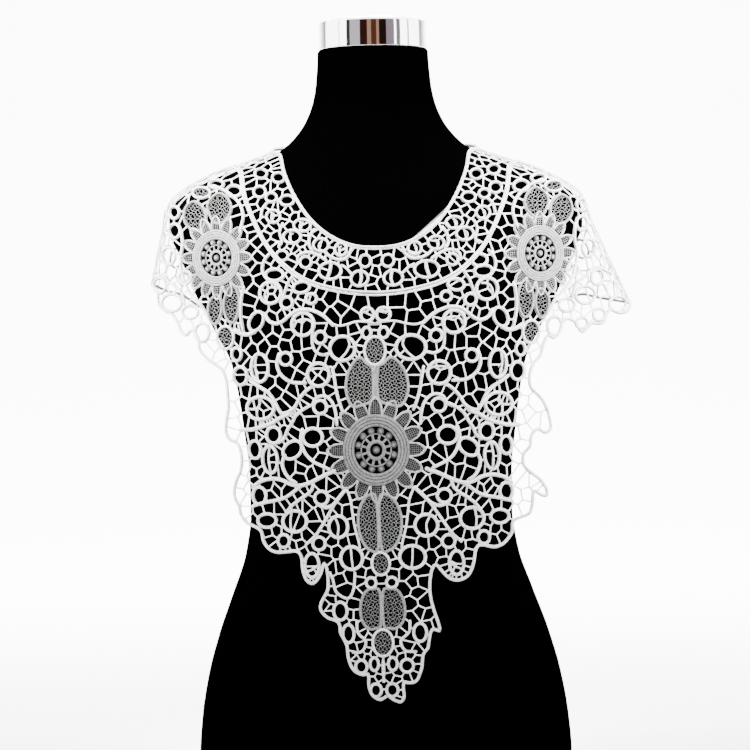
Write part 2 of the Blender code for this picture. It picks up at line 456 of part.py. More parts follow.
class Cloth:
    """The cloth's middle surface, by angle round the neck and depth below its edge."""

    def __init__(self):
        raw = [drape_section(a) for a in ANGLES]
        levels = np.arange(630.0, 80.0, -1.0)
        self.levels = levels
        self.slice_r = np.array([np.interp(levels, z[::-1], r[::-1]) for r, z in raw])
        edge = self.edge_height()
        size = int(LENGTH / STEP) + 1
        self.r = np.zeros((len(ANGLES), size))
        self.z = np.zeros((len(ANGLES), size))
        for i, (r, z) in enumerate(raw):
            s = np.concatenate([[0], np.cumsum(np.hypot(np.diff(r), np.diff(z)))])
            start = np.interp(-edge[i], -z, s)
            want = start + np.arange(size) * STEP
            self.r[i] = np.interp(want, s, r)
            self.z[i] = np.interp(want, s, z)
            past = want > s[-1]
            self.z[i][past] -= want[past] - s[-1]
        self.q_grid = np.arange(-620.0, 160.0, 2.0)
        lengths = np.arange(size) * STEP
        self.s_of_q = np.array([np.interp(self.q_grid, self.r[i] - self.z[i], lengths)
                                for i in range(len(ANGLES))])
        x = self.r * np.sin(ANGLES)[:, None]
        y = -self.r * np.cos(ANGLES)[:, None]
        self.grid = np.stack([x, y, self.z], axis=-1)
        du = np.gradient(self.grid, axis=0)
        du[0] = du[-1] = self.grid[1] - self.grid[-2]
        normal = np.cross(du, np.gradient(self.grid, axis=1))
        normal /= np.linalg.norm(normal, axis=-1)[..., None]
        out = np.sum(normal * np.stack([x, y, np.zeros_like(x)], -1), axis=-1)
        self.normals = normal * np.where(out.sum() < 0, -1.0, 1.0)

    def edge_height(self):
        """Height of the neck edge at each angle."""
        line = spline(NECK_EDGE, 4.0)
        found, _, height = self.view_angle(line[:, 0], line[:, 1])
        marks = list(zip(np.degrees(found), height))
        marks = sorted(marks + [(90.0, 605.0), (130.0, 610.0), (180.0, 612.0)])
        angle = np.abs(np.degrees(ANGLES))
        z = np.interp(angle, [m[0] for m in marks], [m[1] for m in marks])
        kernel = np.hanning(7)[1:-1]
        kernel /= kernel.sum()
        return np.convolve(np.concatenate([z[-3:-1], z, z[1:3]]), kernel, "valid")

    def slice(self, angle, z):
        """The cloth's radii at angles and heights."""
        a = np.clip((angle - ANGLES[0]) / (ANGLES[1] - ANGLES[0]), 0, len(ANGLES) - 1.001)
        b = np.clip(self.levels[0] - z, 0, len(self.levels) - 1.001)
        i, j = a.astype(int), b.astype(int)
        u, v = a - i, b - j
        t = self.slice_r
        return ((t[i, j] * (1 - u) + t[i + 1, j] * u) * (1 - v)
                + (t[i, j + 1] * (1 - u) + t[i + 1, j + 1] * u) * v)

    def view_angle(self, x, z):
        """Angle, radius and height of the cloth points that show at x, z from in front."""
        y = np.full(len(x), -90.0)
        for _ in range(4):
            near = (VIEW_DISTANCE + y) / VIEW_DISTANCE
            xx, zz = x * near, VIEW_HEIGHT + (z - VIEW_HEIGHT) * near
            low = np.full(len(x), -math.pi / 2)
            high = np.full(len(x), math.pi / 2)
            for _ in range(24):
                mid = (low + high) / 2
                short = self.slice(mid, zz) * np.sin(mid) < xx
                low, high = np.where(short, mid, low), np.where(short, high, mid)
            angle = (low + high) / 2
            r = self.slice(angle, zz)
            y = -r * np.cos(angle)
        return angle, r, zz

    def bilinear(self, table, angle, s):
        """Read a table at angles and depths."""
        a = (np.asarray(angle) - ANGLES[0]) / (ANGLES[1] - ANGLES[0])
        b = np.asarray(s) / STEP
        a = np.clip(a, 0, len(ANGLES) - 1.001)
        b = np.clip(b, 0, table.shape[1] - 1.001)
        i, j = a.astype(int), b.astype(int)
        u, v = a - i, b - j
        if table.ndim == 3:
            u, v = u[..., None], v[..., None]
        return ((table[i, j] * (1 - u) + table[i + 1, j] * u) * (1 - v)
                + (table[i, j + 1] * (1 - u) + table[i + 1, j + 1] * u) * v)

    def point(self, angle, s):
        """Points of the middle surface."""
        return self.bilinear(self.grid, angle, s)

    def normal(self, angle, s):
        """Unit normals of the middle surface, pointing out."""
        n = self.bilinear(self.normals, angle, s)
        return n / np.linalg.norm(n, axis=-1)[..., None]

    def locate(self, points):
        """Angle and depth of points near the surface."""
        p = np.atleast_2d(points)
        angle = np.arctan2(p[:, 0], -p[:, 1])
        q = np.hypot(p[:, 0], p[:, 1]) - p[:, 2]
        a = np.clip((angle - ANGLES[0]) / (ANGLES[1] - ANGLES[0]), 0, len(ANGLES) - 1.001)
        b = np.clip((q - self.q_grid[0]) / 2.0, 0, len(self.q_grid) - 1.001)
        i, j = a.astype(int), b.astype(int)
        u, v = a - i, b - j
        t = self.s_of_q
        s = ((t[i, j] * (1 - u) + t[i + 1, j] * u) * (1 - v)
             + (t[i, j + 1] * (1 - u) + t[i + 1, j + 1] * u) * v)
        return angle, s

    def from_front(self, points):
        """Angle and depth of points given as they show from the front."""
        points = np.asarray(points, float)
        angle, r, z = self.view_angle(points[:, 0], points[:, 1])
        world = np.column_stack([r * np.sin(angle), -r * np.cos(angle), z])
        return np.column_stack(self.locate(world))


def flat(params):
    """Lay angle and depth out flat, like a cape pattern."""
    params = np.asarray(params, float)
    rho = FLAT_NECK_RADIUS + params[:, 1]
    turn = params[:, 0] - 0.22 * np.sin(2 * params[:, 0])
    return np.column_stack([rho * np.sin(turn), -rho * np.cos(turn)])


TURN = ANGLES - 0.22 * np.sin(2 * ANGLES)


def wrap(params):
    """Bring angles past the back centre into the range of the tables."""
    params = np.array(params, float)
    params[:, 0] = (params[:, 0] + math.pi) % (2 * math.pi) - math.pi
    return params


def unflat(points):
    """Turn flat positions back into angle and depth."""
    p = np.atleast_2d(points)
    turn = np.arctan2(p[:, 0], -p[:, 1])
    return np.column_stack([np.interp(turn, TURN, ANGLES),
                            np.hypot(p[:, 0], p[:, 1]) - FLAT_NECK_RADIUS])


# ------------------------------------------------------------------ the openwork
class Scrolls:
    """The cords of a piece, as sample points with half widths, for clearances."""

    def __init__(self, cloth):
        self.cloth = cloth
        self.samples = []
        self.widths = []
        self.tree = None

    def add(self, params, half=CORD_HALF):
        """Add a cord through angle and depth pairs."""
        for p in self.cloth.point(params[:, 0], params[:, 1]):
            self.samples.append(p)
            self.widths.append(half)

    def add_front(self, shapes, half=CORD_HALF):
        """Add cords given as they show from the front."""
        for shape in shapes:
            self.add(self.cloth.from_front(shape), half)

    def add_round(self, degrees, depth, radius, half=CORD_HALF):
        """Add a ring at an angle and depth, round on the cloth itself."""
        at = wrap(np.array([[math.radians(degrees), depth]]))
        centre = self.cloth.point(at[:, 0], at[:, 1])[0]
        n = self.cloth.normal(at[:, 0], at[:, 1])[0]
        e1 = np.cross((0.0, 0.0, 1.0), n)
        e1 /= np.linalg.norm(e1)
        e2 = np.cross(n, e1)
        a = np.linspace(0.0, 2 * math.pi, 28, endpoint=False)
        ring = centre + radius * (np.outer(np.cos(a), e1) + np.outer(np.sin(a), e2))
        self.add(np.column_stack(self.cloth.locate(ring)), half)

    def build(self):
        """Make the search tree."""
        self.tree = kdtree.KDTree(len(self.samples))
        for i, p in enumerate(self.samples):
            self.tree.insert(Vector(p), i)
        self.tree.balance()

    def clearance(self, points):
        """Free distance from each point to the nearest cord's edge."""
        out = np.empty(len(points))
        for i, p in enumerate(points):
            _, k, d = self.tree.find(Vector(p))
            out[i] = d - self.widths[k]
        return out


def simplify(polygon, count):
    """Drop the corners that matter least until count are left."""
    pts = [np.array(p) for p in polygon]
    while len(pts) > count:
        areas = []
        for i in range(len(pts)):
            a, b, c = pts[i - 1], pts[i], pts[(i + 1) % len(pts)]
            areas.append(abs((b[0] - a[0]) * (c[1] - a[1]) - (c[0] - a[0]) * (b[1] - a[1])))
        pts.pop(int(np.argmin(areas)))
    return np.array(pts)


def find_gaps(cloth, scrolls, outline, solids, pitch, limit):
    """Place gaps in the open ground of a piece and return their outlines.

    Seeds go to the widest free places first, are evened out, and each gap grows
    from its seed to the nearest cords and to the brides shared with its neighbours.
    """
    low, high = outline.min(0), outline.max(0)
    gx, gy = np.meshgrid(np.arange(low[0], high[0], 2.6), np.arange(low[1], high[1], 2.6))
    cand = np.column_stack([gx.ravel(), gy.ravel()])
    keep = inside(cand, outline)
    for shape in solids:
        keep &= ~inside(cand, shape)
    cand = cand[keep]
    params = unflat(cand)
    world = cloth.point(params[:, 0], params[:, 1])
    clear = scrolls.clearance(world)
    keep = clear > MIN_GAP_RADIUS
    world, clear = world[keep], clear[keep]

    cap = pitch / 2 - BRIDE_HALF
    score = np.minimum(clear, cap)
    near = np.full(len(world), 1e9)
    seeds = []
    while len(world):
        value = np.minimum(score, near / 2 - BRIDE_HALF)
        best = value.max()
        if best < MIN_GAP_RADIUS or len(seeds) > 900:
            break
        ties = np.nonzero(value > best - 0.05)[0]
        k = ties[np.argmin(near[ties])]
        seeds.append(k)
        near = np.minimum(near, np.linalg.norm(world - world[k], axis=1))
    centres = world[seeds]
    for _ in range(3):
        owner = np.full(len(world), -1)
        dist = np.full(len(world), 1e9)
        for i, c in enumerate(centres):
            d = np.linalg.norm(world - c, axis=1)
            nearer = d < dist
            dist[nearer], owner[nearer] = d[nearer], i
        moved = []
        for i, c in enumerate(centres):
            mine = world[(owner == i) & (dist < pitch * 0.75)]
            target = mine.mean(0) if len(mine) else c
            moved.append(c + 0.6 * (target - c))
        a, s = cloth.locate(np.array(moved))
        moved = cloth.point(a, s)
        good = scrolls.clearance(moved) > 0.85 * np.minimum(scrolls.clearance(centres), cap)
        centres = np.where(good[:, None], moved, centres)
    radii = scrolls.clearance(centres)

    gaps = []
    turns = np.linspace(0.0, 2 * math.pi, 40, endpoint=False)
    for i, c in enumerate(centres):
        a, s = cloth.locate(c)
        n = cloth.normal(a, s)[0]
        e1 = np.cross((0.0, 0.0, 1.0), n)
        e1 /= np.linalg.norm(e1)
        e2 = np.cross(n, e1)
        directions = np.outer(np.cos(turns), e1) + np.outer(np.sin(turns), e2)
        reach = np.full(len(turns), 15.0)
        offset = centres - c
        gap = np.linalg.norm(offset, axis=1)
        for j in np.nonzero((gap > 0.1) & (gap < 34.0))[0]:
            share = radii[i] / max(radii[i] + radii[j], 0.1)
            share = min(max(share, 0.3), 0.7)
            facing = directions @ (offset[j] / gap[j])
            ahead = facing > 0.05
            stop = (gap[j] * share - BRIDE_HALF) / np.where(ahead, facing, 1.0)
            reach = np.where(ahead, np.minimum(reach, stop), reach)
        for k, d in enumerate(directions):
            t = max(0.0, radii[i] * 0.9)
            while t < reach[k]:
                _, index, far = scrolls.tree.find(Vector(c + d * t))
                free = far - scrolls.widths[index]
                if free < 0.15:
                    break
                t += max(0.3, free * 0.8)
            reach[k] = min(t, reach[k])
        shape = np.column_stack([reach * np.cos(turns), reach * np.sin(turns)])
        shape = simplify(shape, GAP_SIDES)
        x, y = shape[:, 0], shape[:, 1]
        area = 0.5 * abs(np.dot(x, np.roll(y, -1)) - np.dot(y, np.roll(x, -1)))
        ring = c + shape[:, :1] * e1 + shape[:, 1:] * e2
        where = flat(np.column_stack(cloth.locate(ring)))
        if area > 14.0 and inside(where, outline).all():
            gaps.append((area, where, c))
    gaps.sort(key=lambda g: -g[0])
    return gaps[:limit]


def shell(name, cloth, outline, gaps, reliefs, interior, material, level=()):
    """Build a wall on the cloth surface: outline with gaps, inner and outer faces."""
    points = [tuple(p) for p in outline]
    loops = [list(range(len(points)))]
    for _, ring, _ in gaps:
        start = len(points)
        points += [tuple(p) for p in ring]
        loops.append(list(range(start, start + len(ring))))
    edges = [(loop[i], loop[(i + 1) % len(loop)]) for loop in loops for i in range(len(loop))]
    for shape in reliefs:
        start = len(points)
        points += [tuple(p) for p in shape]
        count = len(shape)
        edges += [(start + i, start + (i + 1) % count) for i in range(count)]
    points += [tuple(p) for p in interior]
    verts, _, faces, _, _, _ = delaunay_2d_cdt([Vector(p) for p in points], edges, [], 0, 1e-6)
    verts = np.array([tuple(v) for v in verts])
    faces = np.array([list(f) for f in faces if len(f) == 3])
    centre = verts[faces].mean(axis=1)
    keep = inside(centre, outline)
    for _, ring, _ in gaps:
        keep &= ~inside(centre, ring)
    faces = faces[keep]
    a, b, c = verts[faces[:, 0]], verts[faces[:, 1]], verts[faces[:, 2]]
    turn = (b[:, 0] - a[:, 0]) * (c[:, 1] - a[:, 1]) - (b[:, 1] - a[:, 1]) * (c[:, 0] - a[:, 0])
    faces[turn < 0] = faces[turn < 0][:, ::-1]
    used = np.unique(faces)
    remap = -np.ones(len(verts), int)
    remap[used] = np.arange(len(used))
    verts, faces = verts[used], remap[faces]

    raised = np.zeros(len(verts))
    for shape in reliefs:
        middle = shape.mean(axis=0)
        raised[inside(verts, middle + (shape - middle) * 1.002)] = LEAF_RELIEF
    for shape in level:
        middle = shape.mean(axis=0)
        raised[inside(verts, middle + (shape - middle) * 1.08)] = 0.0
    params = unflat(verts)
    base = cloth.point(params[:, 0], params[:, 1])
    normal = cloth.normal(params[:, 0], params[:, 1])
    top = base + normal * (WALL / 2 + raised)[:, None]
    bottom = base - normal * WALL / 2

    bm = bmesh.new()
    up = [bm.verts.new(Vector(p) * MM) for p in top]
    down = [bm.verts.new(Vector(p) * MM) for p in bottom]
    uses = {}
    for f in faces:
        for i in range(3):
            e = (int(f[i]), int(f[(i + 1) % 3]))
            uses[e] = True
    for f in faces:
        bm.faces.new([up[i] for i in f])
        bm.faces.new([down[i] for i in f[::-1]])
    for (i, j) in uses:
        if (j, i) not in uses:
            bm.faces.new([up[j], up[i], down[i], down[j]])
    bmesh.ops.triangulate(bm, faces=bm.faces[:])
    if bm.calc_volume(signed=True) < 0:
        bmesh.ops.reverse_faces(bm, faces=bm.faces[:])
    return finish(name, bm, material)


# ----------------------------------------------------------------------- objects
def make_material(name, colour, roughness, metallic):
    """A plain Principled material."""
    material = bpy.data.materials.new(name)
    material.use_nodes = True
    shader = material.node_tree.nodes["Principled BSDF"]
    shader.inputs["Base Color"].default_value = (*colour, 1.0)
    shader.inputs["Roughness"].default_value = roughness
    shader.inputs["Metallic"].default_value = metallic
    material.diffuse_color = (*colour, 1.0)
    return material


def finish(name, bm, material):
    """Turn a bmesh into a named object in the parts collection."""
    mesh = bpy.data.meshes.new(name)
    bm.to_mesh(mesh)
    bm.free()
    mesh.shade_smooth()
    mesh.set_sharp_from_angle(angle=math.radians(40))
    mesh.materials.append(material)
    obj = bpy.data.objects.new(name, mesh)
    PARTS.objects.link(obj)
    return obj


def build_form(material):
    """Loft the form through its levels."""
    bm = bmesh.new()
    angles = np.linspace(0.0, 2 * math.pi, FORM_SIDES, endpoint=False)
    rings = []
    for z in FORM_LEVELS:
        r = form_radius(angles, np.full(FORM_SIDES, z))
        rings.append([bm.verts.new(Vector((r[i] * math.sin(a), -r[i] * math.cos(a), z)) * MM)
                      for i, a in enumerate(angles)])
    for low, high in zip(rings, rings[1:]):
        for i in range(FORM_SIDES):
            j = (i + 1) % FORM_SIDES
            bm.faces.new([low[i], low[j], high[j], high[i]])
    bm.faces.new(rings[0][::-1])
    bm.faces.new(rings[-1])
    bmesh.ops.triangulate(bm, faces=bm.faces[:])
    return finish("form_torso", bm, material)


def build_cap(material):
    """Turn the neck cap from its profile."""
    mesh = bpy.data.meshes.new("form_neck_cap")
    bm = bmesh.new()
    line = [bm.verts.new(Vector((r, 0.0, z)) * MM) for r, z in CAP_PROFILE]
    for a, b in zip(line, line[1:]):
        bm.edges.new((a, b))
    bm.to_mesh(mesh)
    bm.free()
    mesh.materials.append(material)
    obj = bpy.data.objects.new("form_neck_cap", mesh)
    PARTS.objects.link(obj)
    screw = obj.modifiers.new("turn", "SCREW")
    screw.steps = 40
    screw.render_steps = 40
    screw.use_merge_vertices = True
    screw.merge_threshold = 0.0001
    screw.use_smooth_shade = True
    return obj


def seam_params(cloth, angle, s0, s1, side, spacing):
    """Points along a shoulder seam, half a seam gap to one side of it."""
    count = max(2, int(math.ceil(abs(s1 - s0) / spacing)))
    s = np.linspace(s0, s1, count + 1)
    r = cloth.bilinear(cloth.r, np.full(len(s), angle), s)
    shift = SEAM_GAP / 2 / r * side
    return np.column_stack([angle + shift, s])


def shift_inward(loop, distance):
    """Move a closed flat outline towards its inside."""
    before, after = np.roll(loop, 1, axis=0), np.roll(loop, -1, axis=0)
    along = after - before
    along /= np.linalg.norm(along, axis=1)[:, None]
    normal = np.column_stack([-along[:, 1], along[:, 0]])
    x, y = loop[:, 0], loop[:, 1]
    if np.dot(x, np.roll(y, -1)) - np.dot(y, np.roll(x, -1)) < 0:
        normal = -normal
    return loop + normal * distance


def scatter(cloth, outline, gaps, shapes, spacing):
    """Inner points that keep the wall on the curved surface where it is closed."""
    low, high = outline.min(0), outline.max(0)
    gx, gy = np.meshgrid(np.arange(low[0], high[0], 4.0), np.arange(low[1], high[1], 4.0))
    cand = np.column_stack([gx.ravel(), gy.ravel()])
    cand = cand[inside(cand, outline)]
    params = unflat(cand)
    world = cloth.point(params[:, 0], params[:, 1])
    fixed = [outline] + [g[1] for g in gaps] + list(shapes)
    known = []
    for loop in fixed:
        fine = np.vstack([loop, (loop + np.roll(loop, 1, axis=0)) / 2])
        p = unflat(fine)
        known.append(cloth.point(p[:, 0], p[:, 1]))
    known = np.vstack(known)
    tree = kdtree.KDTree(len(known))
    for i, p in enumerate(known):
        tree.insert(Vector(p), i)
    tree.balance()
    near = np.array([tree.find(Vector(p))[2] for p in world])
    for _, ring, _ in gaps:
        near[inside(cand, ring)] = 0.0
    chosen = []
    limit = spacing * 0.55
    while len(world) and near.max() > limit:
        k = int(np.argmax(np.minimum(near, spacing)))
        chosen.append(cand[k])
        near = np.minimum(near, np.linalg.norm(world - world[k], axis=1) * 0.55)
    return chosen


def rosette(name, cloth, x, z, rx, rz, material):
    """A round wheel with a ringed rim and petals, lying on the panel."""
    steps = ROSETTE_PETALS * 2
    base = WALL / 2 + ROSETTE_GAP
    bm = bmesh.new()

    def place(share, turn, height):
        seen = np.array([[x + rx * share * math.sin(turn), z + rz * share * math.cos(turn)]])
        p = cloth.from_front(seen)
        at = cloth.point(p[:, 0], p[:, 1])[0] + cloth.normal(p[:, 0], p[:, 1])[0] * height
        return bm.verts.new(Vector(at) * MM)

    top_centre, low_centre = place(0.0, 0.0, base + 2.8), place(0.0, 0.0, base)
    top, low = [], []
    for share, height in ROSETTE_RINGS + ((0.94, ROSETTE_RIM),):
        ring_up, ring_low = [], []
        for i in range(steps):
            turn = 2 * math.pi * i / steps
            scale = (1.0 if i % 2 == 0 else 0.93) if share > 0.9 else 1.0
            ring_up.append(place(share * scale, turn, base + height))
            ring_low.append(place(share * scale, turn, base))
        top.append(ring_up)
        low.append(ring_low)
    for rings, centre, flip in ((top, top_centre, False), (low, low_centre, True)):
        rings = rings if not flip else [rings[1], rings[3], rings[5], rings[-1]]
        for i in range(steps):
            j = (i + 1) % steps
            tri = [centre, rings[0][i], rings[0][j]]
            bm.faces.new(tri[::-1] if flip else tri)
            for near, far in zip(rings, rings[1:]):
                quad = [near[i], far[i], far[j], near[j]]
                bm.faces.new(quad[::-1] if flip else quad)
    for i in range(steps):
        j = (i + 1) % steps
        bm.faces.new([top[-1][j], top[-1][i], low[-1][i], low[-1][j]])
    loose = [v for v in bm.verts if not v.link_faces]
    bmesh.ops.delete(bm, geom=loose, context="VERTS")
    bmesh.ops.recalc_face_normals(bm, faces=bm.faces[:])
    if bm.calc_volume(signed=True) < 0:
        bmesh.ops.reverse_faces(bm, faces=bm.faces[:])
    return finish(name, bm, material)


# ------------------------------------------------------------------ the layout
def edge_depths(cloth, table, back_width):
    """Depth of an edge below the neck cord at every angle, front table and back value."""
    params = cloth.from_front(spline(table, 3.0))
    degrees = np.degrees(params[:, 0])
    order = np.argsort(degrees)
    angle = np.abs(np.degrees(ANGLES))
    keys = np.concatenate([degrees[order], [93.0, 180.0]])
    values = np.concatenate([params[order, 1], [back_width, back_width]])
    depth = np.interp(angle, keys, values)
    kernel = np.hanning(7)[1:-1]
    kernel /= kernel.sum()
    return np.convolve(np.concatenate([depth[-3:-1], depth, depth[1:3]]), kernel, "valid")


def main():
    """Build every piece."""
    black = make_material("form_black", (0.012, 0.012, 0.013), 0.85, 0.0)
    chrome = make_material("cap_chrome", (0.80, 0.80, 0.80), 0.12, 1.0)
    white = make_material("lace_white", (0.86, 0.86, 0.85), 0.75, 0.0)

    build_form(black)
    build_cap(chrome)

    cloth = Cloth()
    band_depth = edge_depths(cloth, BAND_EDGE, BACK_BAND_WIDTH)

    def band_at(angle, shift=0.0):
        return np.interp(angle, ANGLES, band_depth) + shift

    front = np.radians(np.arange(-90.0, 90.1, 3.0))
    right = math.pi / 2

    # neck band, front half
    seam_r = seam_params(cloth, right, 0.4, float(band_at(right)), -1, 14.0)
    seam_l = seam_params(cloth, -right, 0.4, float(band_at(-right)), 1, 14.0)
    upper = np.column_stack([front, np.zeros(len(front))])
    lower = np.column_stack([front, band_at(front)])
    upper[0], upper[-1] = seam_l[0], seam_r[0]
    lower[0], lower[-1] = seam_l[-1], seam_r[-1]
    band_front = np.vstack([upper, seam_r[1:-1], lower[::-1], seam_l[1:-1][::-1]])
    outline = flat(band_front)
    scrolls = Scrolls(cloth)
    dense = np.radians(np.arange(-90.0, 90.1, 0.75))
    scrolls.add(np.column_stack([dense, np.full(len(dense), 2.2)]), 2.4)
    scrolls.add(np.column_stack([dense, band_at(dense, -2.2)]), 2.4)
    for seam in (seam_r, seam_l):
        fine = np.linspace(seam[0], seam[-1], 40)
        scrolls.add(fine, 2.6)
    for row in BAND_RINGS:
        scrolls.add_front(pair(ellipse(*row)))
    for half, points in BAND_CORDS:
        scrolls.add_front(pair(spline(points, 2.0)), half)
    scrolls.build()
    gaps = find_gaps(cloth, scrolls, outline, [], GAP_PITCH - 0.8, BAND_GAPS)
    shell("neck_band_front", cloth, outline, gaps, [], scatter(cloth, outline, gaps, [], 16.0),
          white)

    # neck band, back half
    back = np.radians(np.arange(90.0, 270.1, 5.0))
    seam_r = seam_params(cloth, right, 0.4, float(band_at(right)), 1, 14.0)
    seam_l = seam_params(cloth, -right, 0.4, float(band_at(-right)), -1, 14.0)
    upper = wrap(np.column_stack([back, np.zeros(len(back))]))
    lower = np.column_stack([upper[:, 0], band_at(upper[:, 0])])
    upper[0], upper[-1] = seam_r[0], seam_l[0]
    lower[0], lower[-1] = seam_r[-1], seam_l[-1]
    outline = flat(np.vstack([upper, seam_l[1:-1], lower[::-1], seam_r[1:-1][::-1]]))
    scrolls = Scrolls(cloth)
    dense_back = wrap(np.column_stack([np.radians(np.arange(90.0, 270.1, 0.75))] * 2))[:, 0]
    scrolls.add(np.column_stack([dense_back, np.full(len(dense_back), 2.2)]), 2.4)
    scrolls.add(np.column_stack([dense_back, band_at(dense_back, -2.2)]), 2.4)
    for seam in (seam_r, seam_l):
        scrolls.add(np.linspace(seam[0], seam[-1], 40), 2.6)
    for depth, radius, count in BACK_BAND_ROWS:
        for k in range(count):
            scrolls.add_round(102.0 + 156.0 * k / (count - 1), depth, radius)
    scrolls.build()
    gaps = find_gaps(cloth, scrolls, outline, [], GAP_PITCH, BAND_GAPS)
    shell("neck_band_back", cloth, outline, gaps, [], scatter(cloth, outline, gaps, [], 16.0),
          white)

    # front panel
    start = SEAM_GAP
    top = np.column_stack([front, band_at(front, start)])
    hem_l = cloth.from_front(mirrored(HEM_LEFT))
    hem_r = cloth.from_front(HEM_RIGHT)
    seam_r = seam_params(cloth, right, float(band_at(right, start)), hem_r[0, 1], -1, 12.0)
    seam_l = seam_params(cloth, -right, float(band_at(-right, start)), hem_l[0, 1], 1, 12.0)
    top[0], top[-1] = seam_l[0], seam_r[0]
    hem_l, hem_r = hem_l[np.abs(hem_l[:, 0]) < 1.53], hem_r[np.abs(hem_r[:, 0]) < 1.53]
    edge = np.vstack([top, seam_r[1:], hem_r, hem_l[::-1], seam_l[1:][::-1]])
    outline = flat(edge)
    scrolls = Scrolls(cloth)
    scrolls.add(np.column_stack([dense, band_at(dense, start + 2.2)]), 2.4)
    for seam in (seam_r, seam_l):
        scrolls.add(np.linspace(seam[0], seam[-1], 140), 2.4)
    hem = shift_inward(outline, 1.8)
    for a, b in zip(hem, np.roll(hem, -1, axis=0)):
        scrolls.add(unflat(np.linspace(a, b, 5)), 2.1)
    for row in PANEL_RINGS:
        scrolls.add_front(pair(ellipse(*row)))
    for half, points in PANEL_CORDS:
        scrolls.add_front(pair(spline(points, 2.0)), half)
    reliefs = []
    for points in LEAVES:
        scrolls.add_front(pair(spline(points, 2.0, closed=True)), 1.4)
        reliefs += [flat(cloth.from_front(shape)) for shape in pair(points)]
    for x, z, rx, rz, tilt in NET_RINGS:
        sides = 2 if x else 1
        scrolls.add_front(pair(ellipse(x, z, rx, rz, tilt))[:sides], 1.6)
        rim = pair(ellipse(x, z, rx + 1.2, rz + 1.2, tilt, count=12))[:sides]
        reliefs += [flat(cloth.from_front(shape)) for shape in rim]
    discs, seats = [], []
    for x, z, rx, rz in ROSETTES.values():
        for share, count in ROSETTE_SEAT:
            seat = ellipse(x, z, rx * share, rz * share, 0.0, count)
            seats.append(flat(cloth.from_front(seat)))
        scrolls.add_front([ellipse(x, z, rx * 1.02, rz * 1.02, 0.0, count=90)], 0.6)
        discs.append(flat(cloth.from_front(ellipse(x, z, rx * 1.02, rz * 1.02, 0.0, 32))))
    scrolls.build()
    gaps = find_gaps(cloth, scrolls, outline, reliefs + discs, GAP_PITCH, FRONT_GAPS)
    interior = scatter(cloth, outline, gaps, reliefs + seats, 19.0) + [p for s in seats for p in s]
    shell("front_panel", cloth, outline, gaps, reliefs, interior, white, discs)

    # back cape
    end_r, end_l = float(seam_r[-1, 1]), float(seam_l[-1, 1])
    hem_table = named(BACK_HEM, BACK_HEM_COLUMNS)
    turn = np.radians(np.arange(90.0, 270.1, 2.0))
    folded = np.degrees(np.minimum(turn, 2 * math.pi - turn))
    ends = np.where(turn < math.pi, end_r, end_l)
    blend = np.clip((folded - 90.0) / 25.0, 0.0, 1.0)
    blend = blend * blend * (3 - 2 * blend)
    plain = smooth_interp(np.maximum(folded, 115.0), hem_table["angle"], hem_table["drop"])
    drop = ends * (1 - blend) + plain * blend
    lobes = np.abs(np.sin(BACK_SCALLOPS * (turn - right)))
    drop = drop - BACK_SCALLOP_DEPTH * blend * (1 - lobes)
    hem_b = wrap(np.column_stack([turn, drop]))
    top = wrap(np.column_stack([back, np.zeros(len(back))]))
    top[:, 1] = band_at(top[:, 0], start)
    seam_r = seam_params(cloth, right, float(band_at(right, start)), end_r, 1, 12.0)
    seam_l = seam_params(cloth, -right, float(band_at(-right, start)), end_l, -1, 12.0)
    top[0], top[-1] = seam_r[0], seam_l[0]
    outline = flat(np.vstack([top, seam_l[1:], hem_b[1:-1][::-1], seam_r[1:][::-1]]))
    scrolls = Scrolls(cloth)
    scrolls.add(np.column_stack([dense_back, band_at(dense_back, start + 2.2)]), 2.4)
    for seam in (seam_r, seam_l):
        scrolls.add(np.linspace(seam[0], seam[-1], 140), 2.4)
    hem = shift_inward(outline, 1.8)
    for a, b in zip(hem, np.roll(hem, -1, axis=0)):
        scrolls.add(unflat(np.linspace(a, b, 5)), 2.1)
    for depth, radius, count in BACK_ROWS:
        for k in range(count):
            scrolls.add_round(103.0 + 154.0 * k / (count - 1), depth, radius)
    scrolls.build()
    gaps = find_gaps(cloth, scrolls, outline, [], BACK_PITCH, BACK_GAPS)
    shell("back_panel", cloth, outline, gaps, [], scatter(cloth, outline, gaps, [], 15.0),
          white)

    for name, (x, z, rx, rz) in ROSETTES.items():
        rosette(name, cloth, x, z, rx, rz, white)


for old in list(bpy.data.objects):
    bpy.data.objects.remove(old, do_unlink=True)
PARTS = bpy.data.collections.new("lace_collar_on_dress_form")
bpy.context.scene.collection.children.link(PARTS)

if __name__ == "__main__":
    main()
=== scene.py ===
"""Lace collar on a dress form: fine surfaces, finishes, light and camera.

The collar is guipure lace: a ground of bars, scroll cords laid over it, leaves and
rings filled with net, and three wheel rosettes.  Every piece follows one cloth
surface that hangs from the neck over the shoulders and falls clear of the waist.
Sizes are in millimetres up to the point where a mesh is made, which is in metres.
"""

import heapq
import logging
import math
from dataclasses import dataclass, field
from enum import Enum

import bpy
import numpy as np
from mathutils import Matrix, Vector, kdtree
from mathutils.geometry import delaunay_2d_cdt


